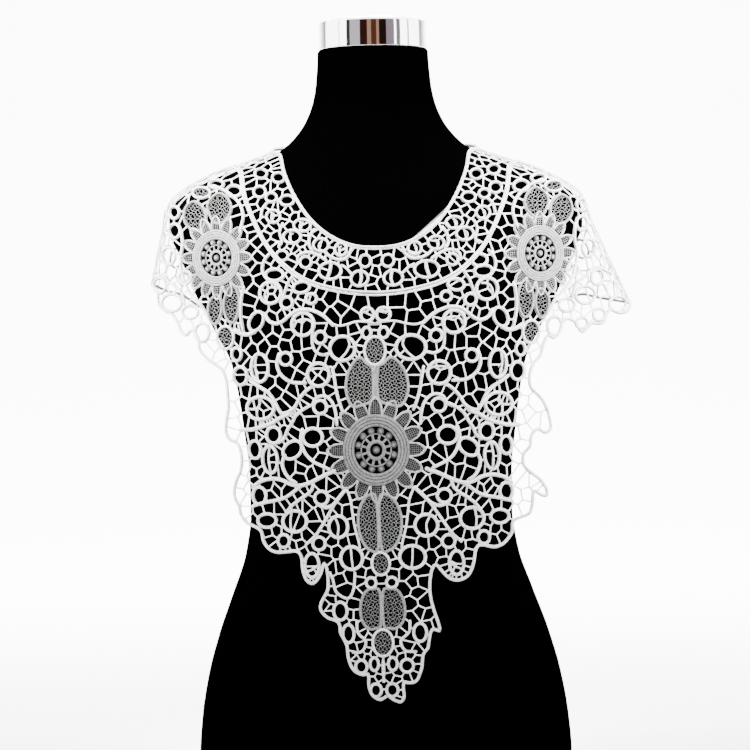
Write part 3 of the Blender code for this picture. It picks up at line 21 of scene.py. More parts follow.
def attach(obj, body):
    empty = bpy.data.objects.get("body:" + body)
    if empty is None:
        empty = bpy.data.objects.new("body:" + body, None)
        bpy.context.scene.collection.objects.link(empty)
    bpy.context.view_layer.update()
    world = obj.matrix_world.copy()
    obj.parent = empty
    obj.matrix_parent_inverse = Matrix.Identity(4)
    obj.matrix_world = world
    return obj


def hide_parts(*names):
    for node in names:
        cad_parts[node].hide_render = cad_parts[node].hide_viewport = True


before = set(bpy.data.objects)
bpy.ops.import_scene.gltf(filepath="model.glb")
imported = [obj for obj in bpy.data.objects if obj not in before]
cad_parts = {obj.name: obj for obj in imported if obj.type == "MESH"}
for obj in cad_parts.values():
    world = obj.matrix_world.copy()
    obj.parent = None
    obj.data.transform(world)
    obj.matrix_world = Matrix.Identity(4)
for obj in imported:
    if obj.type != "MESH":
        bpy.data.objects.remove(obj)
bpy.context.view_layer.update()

LOG = logging.getLogger("lace_collar")
MM = 0.001
UV_SCALE = 0.1   # texture units, which are centimetres of cord, for each mm
# The thread finish paints shade by this coordinate, more the lower it is.
CORD_TOP = 10.0  # the thread coordinate across a cord: 0 at its foot, this on top
END_SIZE = 0.45  # share of its thickness that an open cord has at its ends

Array = np.ndarray
Material = bpy.types.Material
Node = bpy.types.Node
Object = bpy.types.Object
Socket = bpy.types.NodeSocket
Tree = bpy.types.NodeTree
Pairs = tuple[tuple[float, float], ...]
Rows = tuple[tuple[float, ...], ...]

# ---------------------------------------------------------------------- the form
NECK_TOP = 693.5
CAP_TOP = 722.5
CAP_RADIUS = 49.7

FORM_SECTIONS: Rows = (   # z, half width, front depth, back depth, squareness
    (0, 171.3, 100, 116, 2.25),
    (50, 170.8, 100, 117, 2.25),
    (87, 167.8, 100, 117, 2.25),
    (124, 161.3, 99.5, 115, 2.25),
    (160, 151.3, 98, 109, 2.2),
    (197, 137.9, 95, 98, 2.2),
    (234, 125.3, 92.5, 85, 2.15),
    (270, 120.3, 91.5, 77, 2.1),
    (307, 120.6, 93.5, 76, 2.1),
    (344, 124.7, 99, 80, 2.15),
    (381, 129.7, 108, 87, 2.2),
    (410, 136, 117, 92, 2.25),
    (436, 149, 122, 96, 2.3),
    (473, 167.4, 118, 100, 2.3),
    (510, 182, 107, 102, 2.3),
    (528, 189.5, 99.8, 101.2, 2.3),
    (543, 190, 93.5, 99, 2.25),
    (554, 186, 88.5, 96, 2.2),
    (563, 176.5, 83.5, 91.5, 2.15),
    (570.5, 164, 79.3, 87, 2.1),
    (579, 146.5, 75, 82, 2.05),
    (588.5, 120, 70.5, 76, 2),
    (599, 92, 66, 71, 2),
    (611, 76.3, 61, 66, 2),
    (629, 62.8, 55, 59, 2),
    (648, 55.6, 51.5, 53.5, 2),
    (666, 52.6, 51.3, 52.3, 2),
    (NECK_TOP, 50.9, 50.9, 50.9, 2),
)

# How the cloth leaves the form: angle from the front, fall inward and flare outward
# in mm for each mm down.
DRAPE: Rows = (
    (-180, 0.05, 0.02), (-120, 0.00, 0.05), (-90, 0.00, 0.22),
    (-72, 0.00, 0.07), (-55, 0.02, 0.00), (0, 0.10, 0.00), (55, 0.02, 0.00),
    (72, 0.00, 0.13), (90, 0.00, 0.45), (120, 0.00, 0.10), (180, 0.05, 0.02),
)

# Outlines as they show from VIEW_DISTANCE in front, at the height VIEW_HEIGHT.
VIEW_DISTANCE = 3350
VIEW_HEIGHT = 395
NECK_EDGE: Pairs = (
    (0, 513.5), (15, 514.3), (29, 518), (47, 528), (62, 543), (71.5, 558), (78.5, 572.5),
    (82.5, 585), (84.8, 600),
)
BAND_EDGE: Pairs = (
    (0, 470), (20, 471.5), (40, 475), (59, 480.5), (79, 492), (100, 514), (113, 541), (120.5, 562),
    (123, 586),
)
HEM_LEFT: Pairs = (
    (208, 480), (202.5, 475), (201.5, 464), (196, 456.5), (189, 453), (184.5, 446), (181, 437),
    (176, 433.5), (171, 438), (166, 431), (165, 421), (159, 413), (151, 406.5), (144, 401),
    (141, 392), (140, 380), (139.5, 368), (141.5, 357), (142, 345), (138.5, 337), (131, 333),
    (128, 322), (129, 311), (133, 302), (135.5, 292), (134.5, 282.5), (131, 276), (129.5, 268),
    (124, 260), (116, 256), (111, 252), (109.5, 244), (105, 236.5), (98, 232.5), (88, 232.5),
    (79, 233), (75, 229), (74, 217), (70.5, 206.5), (66, 203), (61, 205), (56.5, 212), (53.5, 221),
    (51.5, 214), (51.3, 200), (56, 191), (58.5, 184), (57, 177), (51, 171), (44, 168.5), (41, 165),
    (40.5, 158), (37, 151), (34.5, 145), (34, 137), (31.5, 127.5), (27, 121), (20, 118),
    (15.5, 118.5), (15.5, 110), (13.5, 102), (9.5, 97), (4, 94.8), (-0.5, 97.5),
)
HEM_RIGHT: Pairs = (
    (233.5, 455), (230, 448), (222, 446.5), (213.5, 450), (211, 445), (207.5, 438), (201.5, 437),
    (196.5, 437.5), (190, 430.5), (185.5, 431), (182, 438), (175.5, 442), (170.5, 440), (167, 430),
    (161, 424.5), (156, 427), (152, 419), (149, 409), (142, 401), (139, 391), (140, 382),
    (148, 373.5), (154, 363), (157, 352), (157.5, 342.5), (152, 337.5), (145, 341), (139.5, 336),
    (138, 326), (131.5, 318), (132.5, 310), (139, 303.5), (147, 297), (152.5, 288), (152.5, 280),
    (146.5, 280.5), (140.5, 284), (139.5, 275), (136.5, 264.5), (130, 261), (121, 257),
    (119.5, 247), (112, 237), (103, 233.5), (92, 235.5), (86.5, 233), (84, 220), (79, 208.5),
    (70, 203.5), (60, 206), (52.5, 214), (49, 218), (45.5, 214), (43.5, 198), (46, 182), (51, 166),
    (51.5, 157.5), (44.5, 158.5), (42, 150), (40.5, 142), (36, 136), (34.5, 124), (29, 111.5),
    (21, 110), (17.5, 110), (18, 98), (14.5, 92.5), (8, 94.5), (2.5, 98.5),
)
BACK_HEM: Pairs = ((115, 196), (135, 182), (158, 176), (180, 186))
BACK_SCALLOPS = 11
BACK_SCALLOP_DEPTH = 6
BACK_BAND_WIDTH = 42
SEAM_GAP = 0.36
BAND_TOP = 0.4         # where the shoulder seams start, below the neck edge
RING_LIMIT = 36        # closed cords smaller than this hold a single gap
CORD_STEP = 1.7        # spacing of the sections of a cord
NET_ANGLES = (42, 137)

# The collar hangs a little off the form's centre line: how far, in mm to the
# wearer's left, along its middle and out at its wings and sides.
MIDDLE_SWAY: Pairs = (
    (105, -0.9), (220, -1.8), (270, -3.2), (325, -3.9), (420, -3.6),
    (470, -2), (500, -0.5), (600, -0.5),
)
SIDE_SWAY: Pairs = ((200, 1.5), (290, 1.5), (330, 0), (430, 0), (500, 2))
SWAY_WIDTH = 60

# Scroll rings of one half: x, z, half axes and tilt, as they show from the front.
BAND_RINGS: Rows = (
    (10.5, 500, 5.4, 5.6), (15.5, 484, 8.3, 7), (34, 511, 5.8, 6), (53, 515.5, 7.2, 6),
    (70, 533.8, 7.8, 5.6), (79.5, 523.5, 8, 6), (96.5, 542.5, 6.3, 5.8), (67.5, 500, 5.2, 5.3),
    (44.5, 491.5, 10.8, 7.8), (108.5, 565.3, 5.6, 5), (83.5, 557, 6.4, 4.6), (98, 560, 5, 4.2),
    (91, 578, 5.6, 4.6), (107, 582, 5.6, 4.4), (89, 506.5, 5.4, 4.6),
)
PANEL_RINGS: Rows = (
    (92.5, 499, 7, 5.6), (96, 488.8, 8.2, 5.4), (71, 477, 7.6, 5.2, 170), (99.5, 472.5, 9.8, 10),
    (84.5, 463, 5.4, 5.4), (62, 466.3, 5, 4.6), (23.5, 467, 6.4, 6), (7.4, 450.7, 6.2, 6.2),
    (7.8, 434, 4.2, 5), (69.5, 443, 10.2, 10.5), (53.2, 430.5, 5.4, 5.6), (31.5, 420, 12.7, 11.2),
    (85.5, 411.5, 5.6, 5.8), (55.5, 396.3, 10.3, 10.6), (109.5, 403.5, 7.8, 13),
    (112.3, 446.5, 9.3, 6.2, 115), (127.5, 396.5, 6.3, 8.3), (130.5, 416.5, 4.3, 6),
    (54.5, 366.5, 6.2, 6.3), (109.5, 366.5, 12.5, 10.5), (98, 341.5, 6.5, 7.5), (62, 338.8, 9, 8.3),
    (81, 327.5, 9.8, 7.2, 140), (102, 319, 6.8, 12.5), (115.5, 328.5, 5.5, 8.2),
    (56.5, 282.8, 6.3, 6.3), (81.5, 261.8, 11, 9.8), (107, 263, 8.5, 6.3), (92, 244, 5.3, 6),
    (66.5, 221, 6.6, 11), (40.5, 256, 9.6, 10), (28, 227, 11, 10.5), (59.5, 241, 5.8, 6),
    (113.5, 286, 6, 8), (9.5, 204, 4.8, 4.8), (40.5, 178.5, 6.6, 8.3), (33, 157.5, 5.6, 8.4),
    (21, 127, 5.6, 6), (8.5, 129, 4, 6), (7.5, 105, 5.2, 6), (193, 508, 6, 8), (190, 465, 9, 8),
    (201, 481, 5.5, 7), (220, 456, 7.5, 7), (203, 446.5, 5.5, 5.5), (187, 439, 5.5, 5),
    (162, 437, 6.5, 8.5), (209, 496, 6, 7), (173, 456, 7, 6), (178, 488, 5.5, 6),
    (187, 531, 5, 6.5), (187, 548, 4.5, 5.5), (132, 566.5, 7, 5), (148, 573, 6.5, 3.8),
)
# Cords of one half: half width, then the points that they pass.
PANEL_CORDS: tuple[tuple[float, Pairs], ...] = (
    (1.5, ((38, 483), (38.5, 466), (39.3, 452), (42, 443))),
    (1.6, ((105, 453), (100.5, 446.5), (94, 444), (88, 446), (82, 451), (75, 455.5), (66, 456.5),
           (57, 454), (50, 450), (44.5, 445), (40, 440.5))),
    (1, ((44, 444), (36, 441), (27, 442), (18, 444.5), (8, 444), (0, 442.5))),
    (1.3, ((60, 447), (60.5, 437), (60.5, 424), (57, 417), (51, 414.5), (43.5, 416))),
    (1.9, ((131.5, 438.5), (126, 435.5), (119.5, 434.5), (113, 437.5))),
    (1.5, ((91.5, 416), (93.5, 407), (91.5, 399), (86, 393), (79, 389.5), (67, 388.8))),
    (1.4, ((42, 402), (40, 392), (38.5, 382), (36, 372), (32.5, 362))),
    (1.4, ((61.5, 369), (58, 375), (51, 376.8), (45, 373.5), (41, 367), (39, 358), (38.5, 349))),
    (1.5, ((62, 385.5), (68, 381), (74, 374), (78, 367), (84, 362.5), (91, 361))),
    (1.4, ((64, 368), (71, 364), (77, 359), (81, 352), (85, 346), (88.5, 338), (94, 334))),
    (1.6, ((118.5, 392), (110, 386), (103, 381.5), (98, 375), (94, 367), (90, 360.5))),
    (1.8, ((82, 361.5), (92, 357), (99, 352.5), (108, 349.5), (118, 347), (129, 347))),
    (1.5, ((71.5, 346), (73, 337), (71, 328), (67, 321), (61, 315.5), (54, 312), (47, 308.5))),
    (1.5, ((88.5, 323), (91, 315), (89.5, 308), (85, 301), (79, 297))),
    (1.8, ((119, 294), (111, 299.5), (101, 301.5), (92, 300), (84, 296), (76, 294.5),
           (68, 296.5), (60, 300), (52, 304), (44, 307), (41.5, 308.8))),
    (1.6, ((119, 277), (109, 279.5), (101, 281), (92, 283), (86, 286), (80, 290.5), (75, 294))),
    (1.5, ((89, 270), (84, 276), (77, 281.5), (70, 286), (65, 291), (63.5, 298))),
    (1.7, ((60, 277), (52.5, 274), (45, 276.5), (39, 283), (33, 289.5), (31.5, 292))),
    (1.4, ((44, 277), (51, 266), (58, 255), (64, 247), (72, 240))),
    (1.1, ((31, 291), (27, 280), (25.5, 268), (23.5, 255), (20.5, 243), (19, 235))),
    (1.3, ((101, 508), (106, 501), (107, 493), (103, 485.5), (96, 483))),
    (1.2, ((89, 466), (86, 474), (83, 482), (78, 489))),
    (1.4, ((124.5, 478), (126.5, 464), (126.5, 451), (124, 437))),
    (1.4, ((128, 528), (124, 543), (128, 556), (139, 566), (152, 572))),
    (1.4, ((181, 530), (180, 518), (182, 500), (176, 478), (163, 462), (155, 448))),
    (1.4, ((214, 484), (200, 490), (192, 484), (181, 474), (178, 462))),
    (1.3, ((50, 214), (47, 207), (44, 196), (33, 190), (27, 198), (25, 214))),
    (1.3, ((24.5, 168), (23.5, 158), (16, 150), (20, 141), (30, 140))),
    (1.2, ((0, 134), (0.5, 124), (-0.5, 112))),
)
BAND_CORDS: tuple[tuple[float, Pairs], ...] = (
    (1.4, ((50, 510), (45, 505), (38, 502), (31, 502), (26, 506), (23, 513))),
    (1.3, ((59, 530), (63, 524), (64, 516), (61, 510))),
    (1.3, ((75, 500), (74, 506), (68, 509), (61, 508.5), (54, 505), (48, 501))),
    (1.3, ((14.5, 490.5), (13.5, 484), (15.5, 477.5))),
    (1.5, ((43.5, 499), (44.5, 492), (47, 484.5))),
    (1.2, ((88, 536), (91, 528), (89, 519), (93, 514))),
    (1.2, ((101, 556), (106, 550), (108, 541))),
    (1.1, ((24, 489), (29, 494), (34, 497))),
)
# Thin cords that cross a ring and make it a curl, through these points.
CURL_HALF = 1
CURLS: tuple[Pairs, ...] = (
    ((77.5, 441), (75, 445.5), (69, 447.5), (62.5, 446), (59.5, 442)),
    ((26, 429), (24.5, 423), (28, 416), (35, 409.5)),
    ((112.5, 414.5), (113.5, 405), (111.5, 393)),
    ((64.5, 400.5), (58, 402), (50, 401.5), (45.5, 399)),
    ((105, 467), (104, 473), (100.5, 477), (94, 478)),
    ((111, 376), (110, 371), (113, 366), (121, 366)),
    ((112.5, 366), (112.8, 362), (112.5, 357)),
    ((102, 330), (103.3, 320), (102.3, 308)),
    ((84, 271), (85.5, 262), (85, 253)),
    ((44, 265), (40.5, 257), (41.5, 247)),
    ((28.5, 237), (28, 227), (27, 217)),
    ((71.5, 215), (65.5, 217.5), (61, 221)),
    ((12.5, 453.5), (8.5, 453), (5.5, 456)),
)
# Half leaves filled with net, and the vein of the upper pair.
LEAVES: tuple[Pairs, ...] = (
    ((2.6, 401), (8, 405.5), (13, 411), (19, 408.5), (25.5, 399), (28.5, 387), (27.5, 376),
     (22, 366.5), (12, 368), (2.6, 374)),
    ((1.5, 236), (8, 233.5), (14, 238), (18.5, 248), (20, 260), (18.5, 271), (14, 280),
     (8.5, 284.5), (1.5, 281)),
    ((1.4, 195), (8, 198.5), (15, 196), (19.5, 187), (20.5, 176), (18, 167), (12, 161.5),
     (6, 162), (1.4, 165)),
    ((149, 537), (139, 541.5), (135, 551.5), (139, 561), (146, 564.5), (154, 559), (156.5, 550)),
    ((163, 531.5), (158.5, 540), (159.5, 550), (168, 557.5), (176.5, 552), (178, 541),
     (172, 532.5)),
    ((134, 480.5), (128.5, 470), (128.5, 457), (133, 446), (138.5, 448), (142, 459), (140.5, 471)),
    ((147, 471), (144, 461), (146, 450), (151, 444.5), (156, 452), (156, 463), (151.5, 470)),
)
VEIN: Pairs = ((0, 403), (0, 388), (0, 373))
NET_RINGS: Rows = (
    (0, 417.5, 9.6, 13), (0, 221.5, 8.2, 10.6), (0, 148.5, 9.4, 12.4), (162, 565.5, 8, 4.8),
    (140.5, 432, 7.6, 10.5),
)
BACK_BAND_ROWS: Rows = ((13.5, 6.5, 9), (29, 6, 10))
BACK_ROWS: Rows = ((158, 9, 11), (128, 6.5, 10), (94, 8, 7), (66, 6, 6))


class Side(Enum):
    """One of the two shoulders, as seen from the front."""

    LEFT = -1.0
    RIGHT = 1.0


# ---------------------------------------------------------------- curves in a plane
def eased(t: Array) -> Array:
    """Ease a share of 0 to 1 in and out."""
    return t * t * (3 - 2 * t)


def monotone(x: Array, xs: Array, ys: Array) -> Array:
    """Interpolate with a monotone cubic, flat past both ends.

    Args:
        x: where to read.
        xs: rising positions.
        ys: values at the positions.

    Returns:
        The values at x.
    """
    xs, ys = np.asarray(xs, float), np.asarray(ys, float)
    step = np.diff(xs)
    slope = np.diff(ys) / step
    grad = np.zeros_like(ys)
    same = slope[:-1] * slope[1:] > 0
    w1, w2 = 2 * step[1:] + step[:-1], step[1:] + 2 * step[:-1]
    safe = np.where(same, slope[:-1], 1.0), np.where(same, slope[1:], 1.0)
    grad[1:-1] = np.where(same, (w1 + w2) / (w1 / safe[0] + w2 / safe[1]), 0.0)
    x = np.clip(np.asarray(x, float), xs[0], xs[-1])
    i = np.clip(np.searchsorted(xs, x, side="right") - 1, 0, len(xs) - 2)
    t = (x - xs[i]) / step[i]
    a = (1 + 2 * t) * (1 - t) ** 2 * ys[i] + t * (1 - t) ** 2 * step[i] * grad[i]
    return a + t * t * (3 - 2 * t) * ys[i + 1] - t * t * (1 - t) * step[i] * grad[i + 1]


def spline(points: Pairs | Array, spacing: float, closed: bool = False) -> Array:
    """Resample a Catmull-Rom curve through points.

    Args:
        points: the points it passes.
        spacing: about how far apart the samples lie.
        closed: whether it joins its start.

    Returns:
        The samples, one row each.
    """
    pts = np.array(points, float)
    if closed:
        ext = np.vstack([pts[-1], pts, pts[:2]])
    else:
        ext = np.vstack([2 * pts[0] - pts[1], pts, 2 * pts[-1] - pts[-2]])
    out = []
    for i in range(len(pts) if closed else len(pts) - 1):
        p0, p1, p2, p3 = ext[i:i + 4]
        count = max(2, int(math.ceil(float(np.linalg.norm(p2 - p1)) / spacing)))
        t = (np.arange(count) / count)[:, None]
        out.append(0.5 * (2 * p1 + (p2 - p0) * t + (2 * p0 - 5 * p1 + 4 * p2 - p3) * t ** 2
                          + (3 * p1 - p0 - 3 * p2 + p3) * t ** 3))
    if not closed:
        out.append(pts[-1:])
    return np.vstack(out)


def all_round(count: int) -> Array:
    """Angles evenly spaced all round."""
    return np.linspace(0.0, 2 * math.pi, count, endpoint=False)


def ellipse(x: float, z: float, rx: float, rz: float, tilt: float = 0.0,
            count: int = 28) -> Array:
    """Points round a tilted ellipse.

    Args:
        x: centre across.
        z: centre up.
        rx: half width.
        rz: half height.
        tilt: turn in degrees.
        count: how many points.

    Returns:
        The points, one row each.
    """
    a = all_round(count)
    c, s = math.cos(math.radians(tilt)), math.sin(math.radians(tilt))
    u, v = rx * np.cos(a), rz * np.sin(a)
    return np.column_stack([x + c * u - s * v, z + s * u + c * v])


def inside(points: Array, polygon: Array) -> Array:
    """Tell which 2D points lie inside a polygon."""
    x, y = points[:, 0], points[:, 1]
    result = np.zeros(len(points), bool)
    for (x0, y0), (x1, y1) in zip(polygon, np.roll(polygon, -1, axis=0)):
        if y0 == y1:
            continue
        cross = (y0 > y) != (y1 > y)
        result ^= cross & (x < (x1 - x0) * (y - y0) / (y1 - y0) + x0)
    return result


def inside_box(points: Array, polygon: Array) -> Array:
    """Tell the same, faster where most points lie beyond the polygon's box."""
    result = ((points > polygon.min(0)) & (points < polygon.max(0))).all(axis=1)
    near = np.nonzero(result)[0]
    result[near] = inside(points[near], polygon)
    return result


def smooth_ring(values: Array) -> Array:
    """Smooth values tabled at every angle, the last of which repeats the first."""
    kernel = np.hanning(7)[1:-1]
    kernel /= kernel.sum()
    return np.convolve(np.concatenate([values[-3:-1], values, values[1:3]]), kernel, "valid")


def unit(vectors: Array) -> Array:
    """Scale vectors, held in the last axis, to a length of 1."""
    return vectors / np.maximum(np.linalg.norm(vectors, axis=-1), 1e-9)[..., None]


def signed_area(loop: Array) -> float:
    """Area of a closed 2D line, below nought if it runs clockwise."""
    x, y = loop[:, 0], loop[:, 1]
    return (np.dot(x, np.roll(y, -1)) - np.dot(y, np.roll(x, -1))) / 2


def run_length(path: Array) -> Array:
    """Length along a path up to each of its points."""
    return np.concatenate([[0], np.cumsum(np.linalg.norm(np.diff(path, axis=0), axis=1))])


def bilinear(table: Array, a: Array, b: Array) -> Array:
    """Read a table between its rows and columns.

    Args:
        table: the values, single ones or vectors.
        a: positions along its rows, held within it.
        b: positions along its columns, held within it.

    Returns:
        The values there.
    """
    a = np.clip(a, 0, table.shape[0] - 1.001)
    b = np.clip(b, 0, table.shape[1] - 1.001)
    i, j = a.astype(int), b.astype(int)
    u, v = a - i, b - j
    if table.ndim == 3:
        u, v = u[..., None], v[..., None]
    return ((table[i, j] * (1 - u) + table[i + 1, j] * u) * (1 - v)
            + (table[i, j + 1] * (1 - u) + table[i + 1, j + 1] * u) * v)


def search_tree(points: list) -> kdtree.KDTree:
    """Make a tree that finds the nearest of some points."""
    tree = kdtree.KDTree(len(points))
    for i, p in enumerate(points):
        tree.insert(Vector(p), i)
    tree.balance()
    return tree


def mirrored(points: Array) -> Array:
    """The same points on the other side of the centre line."""
    return np.asarray(points, float) * (-1.0, 1.0)


def hung(points: Array) -> Array:
    """Move a shape of the even layout to where it hangs on the form."""
    points = np.asarray(points, float)
    middle = np.interp(points[:, 1], *np.transpose(MIDDLE_SWAY))
    side = np.interp(points[:, 1], *np.transpose(SIDE_SWAY))
    share = np.clip(np.abs(points[:, 0]) / SWAY_WIDTH, 0.0, 1.0)
    share = eased(share)
    return points + np.column_stack([middle * (1 - share) + side * share,
                                     np.zeros(len(points))])


def pair(points: Array) -> list[Array]:
    """A shape of one half and its mirror image, both as they hang."""
    return [hung(points), hung(mirrored(points))]


def wrap(params: Array) -> Array:
    """Bring angles past the centre back into the range of the tables."""
    params = np.array(params, float)
    params[:, 0] = (params[:, 0] + math.pi) % (2 * math.pi) - math.pi
    return params


# -------------------------------------------------------------- the cloth surface
FORM = np.array(FORM_SECTIONS, float)
FALL = np.array(DRAPE, float)
ANGLES = np.radians(np.arange(-180.0, 180.1, 2.0))
FLAT_SQUEEZE = 0.22    # how far a flat pattern's angles lean to the front and the back
TURNS = ANGLES - FLAT_SQUEEZE * np.sin(2 * ANGLES)
FLAT_NECK_RADIUS = 80.0


def form_radius(angle: Array, z: Array) -> Array:
    """Distance from the neck axis to the form's surface.

    Args:
        angle: angles from the front, in radians.
        z: heights above the base.

    Returns:
        The radii.
    """
    half, front, back, power = (monotone(z, FORM[:, 0], FORM[:, k]) for k in (1, 2, 3, 4))
    depth = np.where(np.cos(angle) > 0, front, back)
    across = np.abs(np.sin(angle)) / half
    along = np.abs(np.cos(angle)) / depth
    return (across ** power + along ** power) ** (-1.0 / power)


def flat(params: Array) -> Array:
    """Lay angle and depth out flat, like a cape pattern."""
    rho = FLAT_NECK_RADIUS + params[:, 1]
    turn = params[:, 0] - FLAT_SQUEEZE * np.sin(2 * params[:, 0])
    return np.column_stack([rho * np.sin(turn), -rho * np.cos(turn)])


def angle_row(angle: Array) -> Array:
    """Where angles fall in the tables that have a row for each of ANGLES."""
    return (np.asarray(angle) - ANGLES[0]) / (ANGLES[1] - ANGLES[0])


def unflat(points: Array) -> Array:
    """Turn flat positions back into angle and depth."""
    turn = np.arctan2(points[:, 0], -points[:, 1])
    return np.column_stack([np.interp(turn, TURNS, ANGLES),
                            np.hypot(points[:, 0], points[:, 1]) - FLAT_NECK_RADIUS])


@dataclass
class ClothSurface:
    """The cloth's middle surface, by angle round the neck and depth below its edge."""

    clearance: float = 3.2     # from the form to the wall
    wall: float = 1.7          # thickness
    step: float = 2.0          # spacing of the tables in depth
    length: float = 470.0      # depth that they reach
    top: float = 640.0         # heights that its sections start and end at
    bottom: float = 70.0
    fall_from: float = 545.0   # height below which the cloth may fall inward
    flare_from: float = 556.0  # height below which it stands out
    flare_over: float = 26.0   # drop over which it begins to
    even: int = 19             # samples that its sections are smoothed over
    nape: Pairs = ((90, 605), (130, 610), (180, 612))   # neck edge behind the shoulders
    r: Array = field(init=False)
    grid: Array = field(init=False)
    normals: Array = field(init=False)

    def __post_init__(self) -> None:
        """Work out the sections and the tables that read them."""
        raw = [self._section(a) for a in ANGLES]
        self.levels = np.arange(self.top - 10.0, self.bottom + 10.0, -1.0)
        self.slice_r = np.array([np.interp(self.levels, z[::-1], r[::-1]) for r, z in raw])
        edge = self._edge_height()
        size = int(self.length / self.step) + 1
        self.r = np.zeros((len(ANGLES), size))
        height = np.zeros((len(ANGLES), size))
        for i, (r, z) in enumerate(raw):
            s = np.concatenate([[0], np.cumsum(np.hypot(np.diff(r), np.diff(z)))])
            want = np.interp(-edge[i], -z, s) + np.arange(size) * self.step
            self.r[i] = np.interp(want, s, r)
            height[i] = np.interp(want, s, z)
            past = want > s[-1]
            height[i][past] -= want[past] - s[-1]
        self.q_grid = np.arange(-620.0, 160.0, self.step)
        lengths = np.arange(size) * self.step
        self.s_of_q = np.array([np.interp(self.q_grid, self.r[i] - height[i], lengths)
                                for i in range(len(ANGLES))])
        x = self.r * np.sin(ANGLES)[:, None]
        y = -self.r * np.cos(ANGLES)[:, None]
        self.grid = np.stack([x, y, height], axis=-1)
        du = np.gradient(self.grid, axis=0)
        du[0] = du[-1] = self.grid[1] - self.grid[-2]
        normal = unit(np.cross(du, np.gradient(self.grid, axis=1)))
        out = np.sum(normal * np.stack([x, y, np.zeros_like(x)], -1), axis=-1)
        self.normals = normal * (-1.0 if out.sum() < 0 else 1.0)

    def _section(self, angle: float) -> tuple[Array, Array]:
        """One vertical section of the cloth: radii and heights from the neck down."""
        z = np.arange(self.top, self.bottom, -1.0)
        r = form_radius(np.full(len(z), angle), z)
        slope = np.gradient(r, z)
        size = np.sqrt(1 + slope ** 2)
        clear = self.clearance + self.wall / 2
        ro, zo = r + clear / size, z - clear * slope / size
        grid = np.arange(self.top - 4.0, self.bottom + 4.0, -1.0)
        ro = np.interp(grid, zo[::-1], ro[::-1])
        degrees = math.degrees(angle)
        inward = float(monotone(degrees, FALL[:, 0], FALL[:, 1]))
        outward = float(monotone(degrees, FALL[:, 0], FALL[:, 2]))
        for i in range(1, len(grid)):
            fall = inward if grid[i] < self.fall_from else 0.0
            flare = outward * min(1.0, max(0.0, (self.flare_from - grid[i]) / self.flare_over))
            ro[i] = max(ro[i], ro[i - 1] - fall + flare)
        length = np.concatenate([[0], np.cumsum(np.hypot(np.diff(ro), np.diff(grid)))])
        s = np.arange(0.0, length[-1], 1.0)
        r, z = np.interp(s, length, ro), np.interp(s, length, grid)
        kernel = np.hanning(self.even)
        kernel /= kernel.sum()
        within = slice(self.even // 2, -(self.even // 2))
        r[within] = np.convolve(r, kernel, "valid")
        z[within] = np.convolve(z, kernel, "valid")
        return r, z

    def _edge_height(self) -> Array:
        """Height of the neck edge at each angle."""
        line = spline(NECK_EDGE, 4.0)
        found = self._view_angle(line[:, 0], line[:, 1])
        marks = sorted([*zip(np.degrees(found[0]), found[2]), *self.nape])
        return smooth_ring(np.interp(np.abs(np.degrees(ANGLES)), *np.transpose(marks)))

    def _slice(self, angle: Array, z: Array) -> Array:
        """Radii of the level slices at angles and heights."""
        return bilinear(self.slice_r, angle_row(angle), self.levels[0] - z)

    def _view_angle(self, x: Array, z: Array) -> tuple[Array, Array, Array]:
        """Angle, radius and height of the cloth seen at x, z from in front."""
        x, z = np.asarray(x, float), np.asarray(z, float)
        y = np.full(len(x), -90.0)
        for _ in range(4):
            near = (VIEW_DISTANCE + y) / VIEW_DISTANCE
            xx, zz = x * near, VIEW_HEIGHT + (z - VIEW_HEIGHT) * near
            low = np.full(len(x), -math.pi / 2)
            high = np.full(len(x), math.pi / 2)
            for _ in range(24):
                mid = (low + high) / 2
                short = self._slice(mid, zz) * np.sin(mid) < xx
                low, high = np.where(short, mid, low), np.where(short, high, mid)
            angle = (low + high) / 2
            r = self._slice(angle, zz)
            y = -r * np.cos(angle)
        return angle, r, zz

    def read(self, table: Array, angle: Array, s: Array) -> Array:
        """Read a table at angles and depths, bilinearly."""
        return bilinear(table, angle_row(angle), np.asarray(s) / self.step)

    def point(self, params: Array, lift: Array | float = 0.0) -> Array:
        """Points at a height above the middle surface.

        Args:
            params: angle and depth pairs.
            lift: distance out along the normal.

        Returns:
            The points, one row each.
        """
        return (self.read(self.grid, params[:, 0], params[:, 1])
                + self.normal(params) * np.reshape(lift, (-1, 1)))

    def normal(self, params: Array) -> Array:
        """Unit normals, pointing away from the form."""
        return unit(self.read(self.normals, params[:, 0], params[:, 1]))

    def locate(self, points: Array) -> Array:
        """Angle and depth of points near the surface."""
        p = np.atleast_2d(points)
        angle = np.arctan2(p[:, 0], -p[:, 1])
        q = np.hypot(p[:, 0], p[:, 1]) - p[:, 2]
        s = bilinear(self.s_of_q, angle_row(angle), (q - self.q_grid[0]) / self.step)
        return np.column_stack([angle, s])

    def from_front(self, points: Array) -> Array:
        """Angle and depth of points given as they show from in front."""
        angle, r, z = self._view_angle(points[:, 0], points[:, 1])
        return self.locate(np.column_stack([r * np.sin(angle), -r * np.cos(angle), z]))

    def edge_depths(self, edge: Pairs, back: float) -> Array:
        """Depth below the neck cord of an edge that runs all round.

        Args:
            edge: the edge as it shows from the front, one half.
            back: its depth behind the shoulders.

        Returns:
            One depth for each tabled angle.
        """
        params = self.from_front(spline(edge, 3.0))
        degrees = np.degrees(params[:, 0])
        order = np.argsort(degrees)
        depth = np.interp(np.abs(np.degrees(ANGLES)),
                          np.concatenate([degrees[order], [93.0, 180.0]]),
                          np.concatenate([params[order, 1], [back, back]]))
        return smooth_ring(depth)


